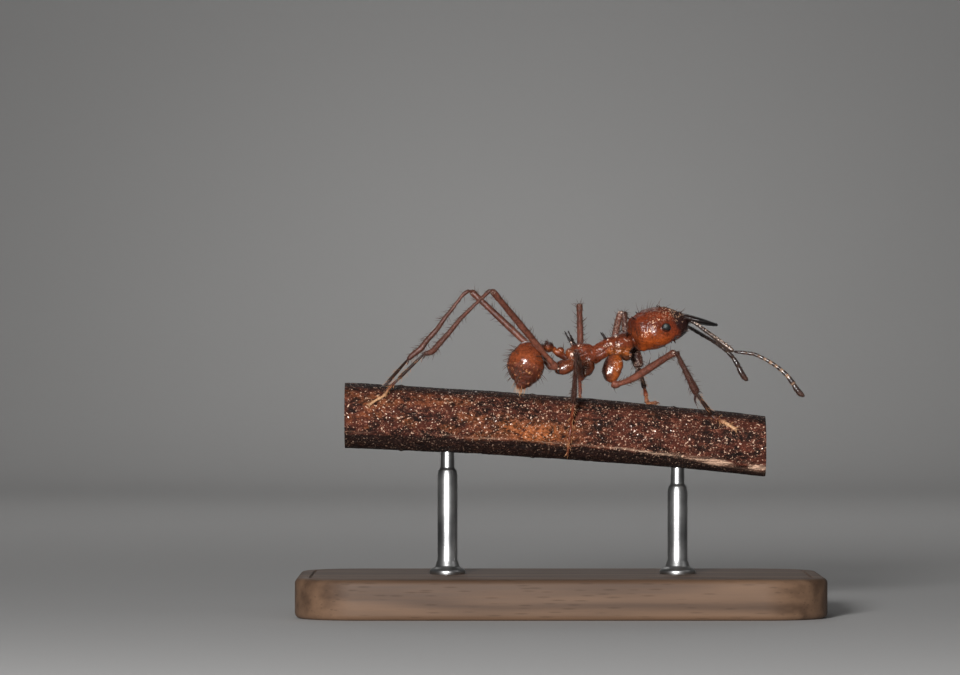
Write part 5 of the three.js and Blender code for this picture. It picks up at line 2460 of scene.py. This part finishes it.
def build_head(stance: Stance, coat: Coat) -> None:
    """Builds the head with its eyes, jaws and feelers.

    Args:
        stance: Where the ant stands.
        coat: The head's coat.
    """
    head = Head(stance)
    skin = head.build()
    head.dress(skin, coat)
    skin.finish(HEAD_SHELL.material(), "head_shell", "head")
    lens, jaw, feeler = Lens("eye lens").material(), JAW_SHELL.material(), FEELER_SHELL.material()
    whiskers = Coat("feeler_hairs", 5)
    for side in Side:
        Eye(stance, side).build().finish(lens, "eye_lens", f"eye_{side.word}", crease=8)
        Mandible(stance, side).build().finish(jaw, "jaw_shell", f"mandible_{side.word}")
        horn = Feeler(stance, side)
        scape, whip = horn.build_scape(), horn.build_whip()
        horn.dress(scape, whip, whiskers)
        scape.finish(feeler, "feeler_shell", f"scape_{side.word}")
        whip.finish(feeler, "feeler_shell", f"funiculus_{side.word}")
    coat.finish(DARK_HAIR.material(), "head_shell")
    whiskers.finish(DARK_HAIR.material(), "feeler_shell")


def build_body(stance: Stance, gold: Coat) -> None:
    """Builds the trunk, the waist and the gaster.

    Args:
        stance: Where the ant stands.
        gold: The coat of the gaster's end.
    """
    shell, hair = TRUNK_SHELL.material(), DARK_HAIR.material()
    trunk_coat, gaster_coat = Coat("trunk_hairs", 2), Coat("gaster_hairs", 3)
    trunk, waist, gaster = Trunk(stance), Waist(stance), Gaster(stance)
    skin = trunk.build()
    trunk.dress(skin, trunk_coat)
    skin.finish(shell, "trunk_shell", "pronotum", "propodeum")
    stalk, knob = waist.build_petiole(), waist.build_postpetiole()
    waist.dress((stalk, knob), trunk_coat)
    stalk.finish(shell, "trunk_shell", "petiole")
    knob.finish(shell, "trunk_shell", "postpetiole")
    egg = gaster.build()
    gaster.dress(egg, gaster_coat, gold)
    egg.finish(GASTER_SHELL.material(), "gaster_shell", "gaster")
    trunk_coat.finish(hair, "trunk_shell")
    gaster_coat.finish(hair, "gaster_shell")


def build_legs(stance: Stance, perch: Perch, gold: Coat) -> None:
    """Builds the six legs.

    Args:
        stance: Where the ant stands.
        perch: The twig it stands on.
        gold: The coat of the feet.
    """
    coxa, limb, foot = (shell.material() for shell in (COXA_SHELL, LEG_SHELL, FOOT_SHELL))
    hair = DARK_HAIR.material()
    dresses = ((coxa, "coxa_shell", "coxa"), (limb, "leg_shell", "femur"),
               (limb, "leg_shell", "tibia"), (foot, "foot_shell", "tarsus"))
    for number, (place, side) in enumerate((p, s) for p in Place for s in Side):
        leg = Leg(stance, perch, place, side)
        coat = Coat(f"leg_hairs_{leg.word}", 20 + number)
        parts = [leg.build_coxa(), leg.build_femur(), leg.build_tibia(), leg.build_foot()]
        leg.dress(parts, coat, gold)
        for part, (shell, slot, node) in zip(parts, dresses):
            part.finish(shell, slot, f"{node}_{leg.word}")
        coat.finish(hair, "leg_shell")


def build_stand(perch: Perch) -> None:
    """Builds the twig and the stand under it.

    Args:
        perch: The twig's axis and radius.
    """
    twig = Twig(perch)
    bark = twig.build()
    bark.finish(Bark("bark").material(), "bark", "perch_twig")
    twig.dress(bark, EndGrain("end grain").material())
    stand = Stand(perch)
    stand.build_base().finish(OiledWood("oiled wood").material(), "stand_wood", "stand_base",
                              crease=35)
    steel = BrushedSteel("brushed steel").material()
    for word in ("front", "rear"):
        stand.build_rod(word).finish(steel, "stand_steel", f"stand_rod_{word}", crease=35)


def main() -> None:
    """Builds the whole model and its set."""
    logging.basicConfig(level=logging.INFO, format="%(message)s")
    Form.clear()
    solids = Solids(frame["nodes"])
    stance, perch = Stance(solids), Perch(solids)
    studio = Studio(aim=Vector((-3.2, 0, 11.06)))
    studio.shoot()
    gold = Coat("golden_hairs", 7)
    build_head(stance, Coat("head_hairs", 1))
    build_body(stance, gold)
    build_legs(stance, perch, gold)
    gold.finish(GOLD_HAIR.material(), "foot_shell")
    build_stand(perch)
    studio.build_set(Paper("pale paper").material())
    studio.light()


if __name__ == "__main__":
    main()
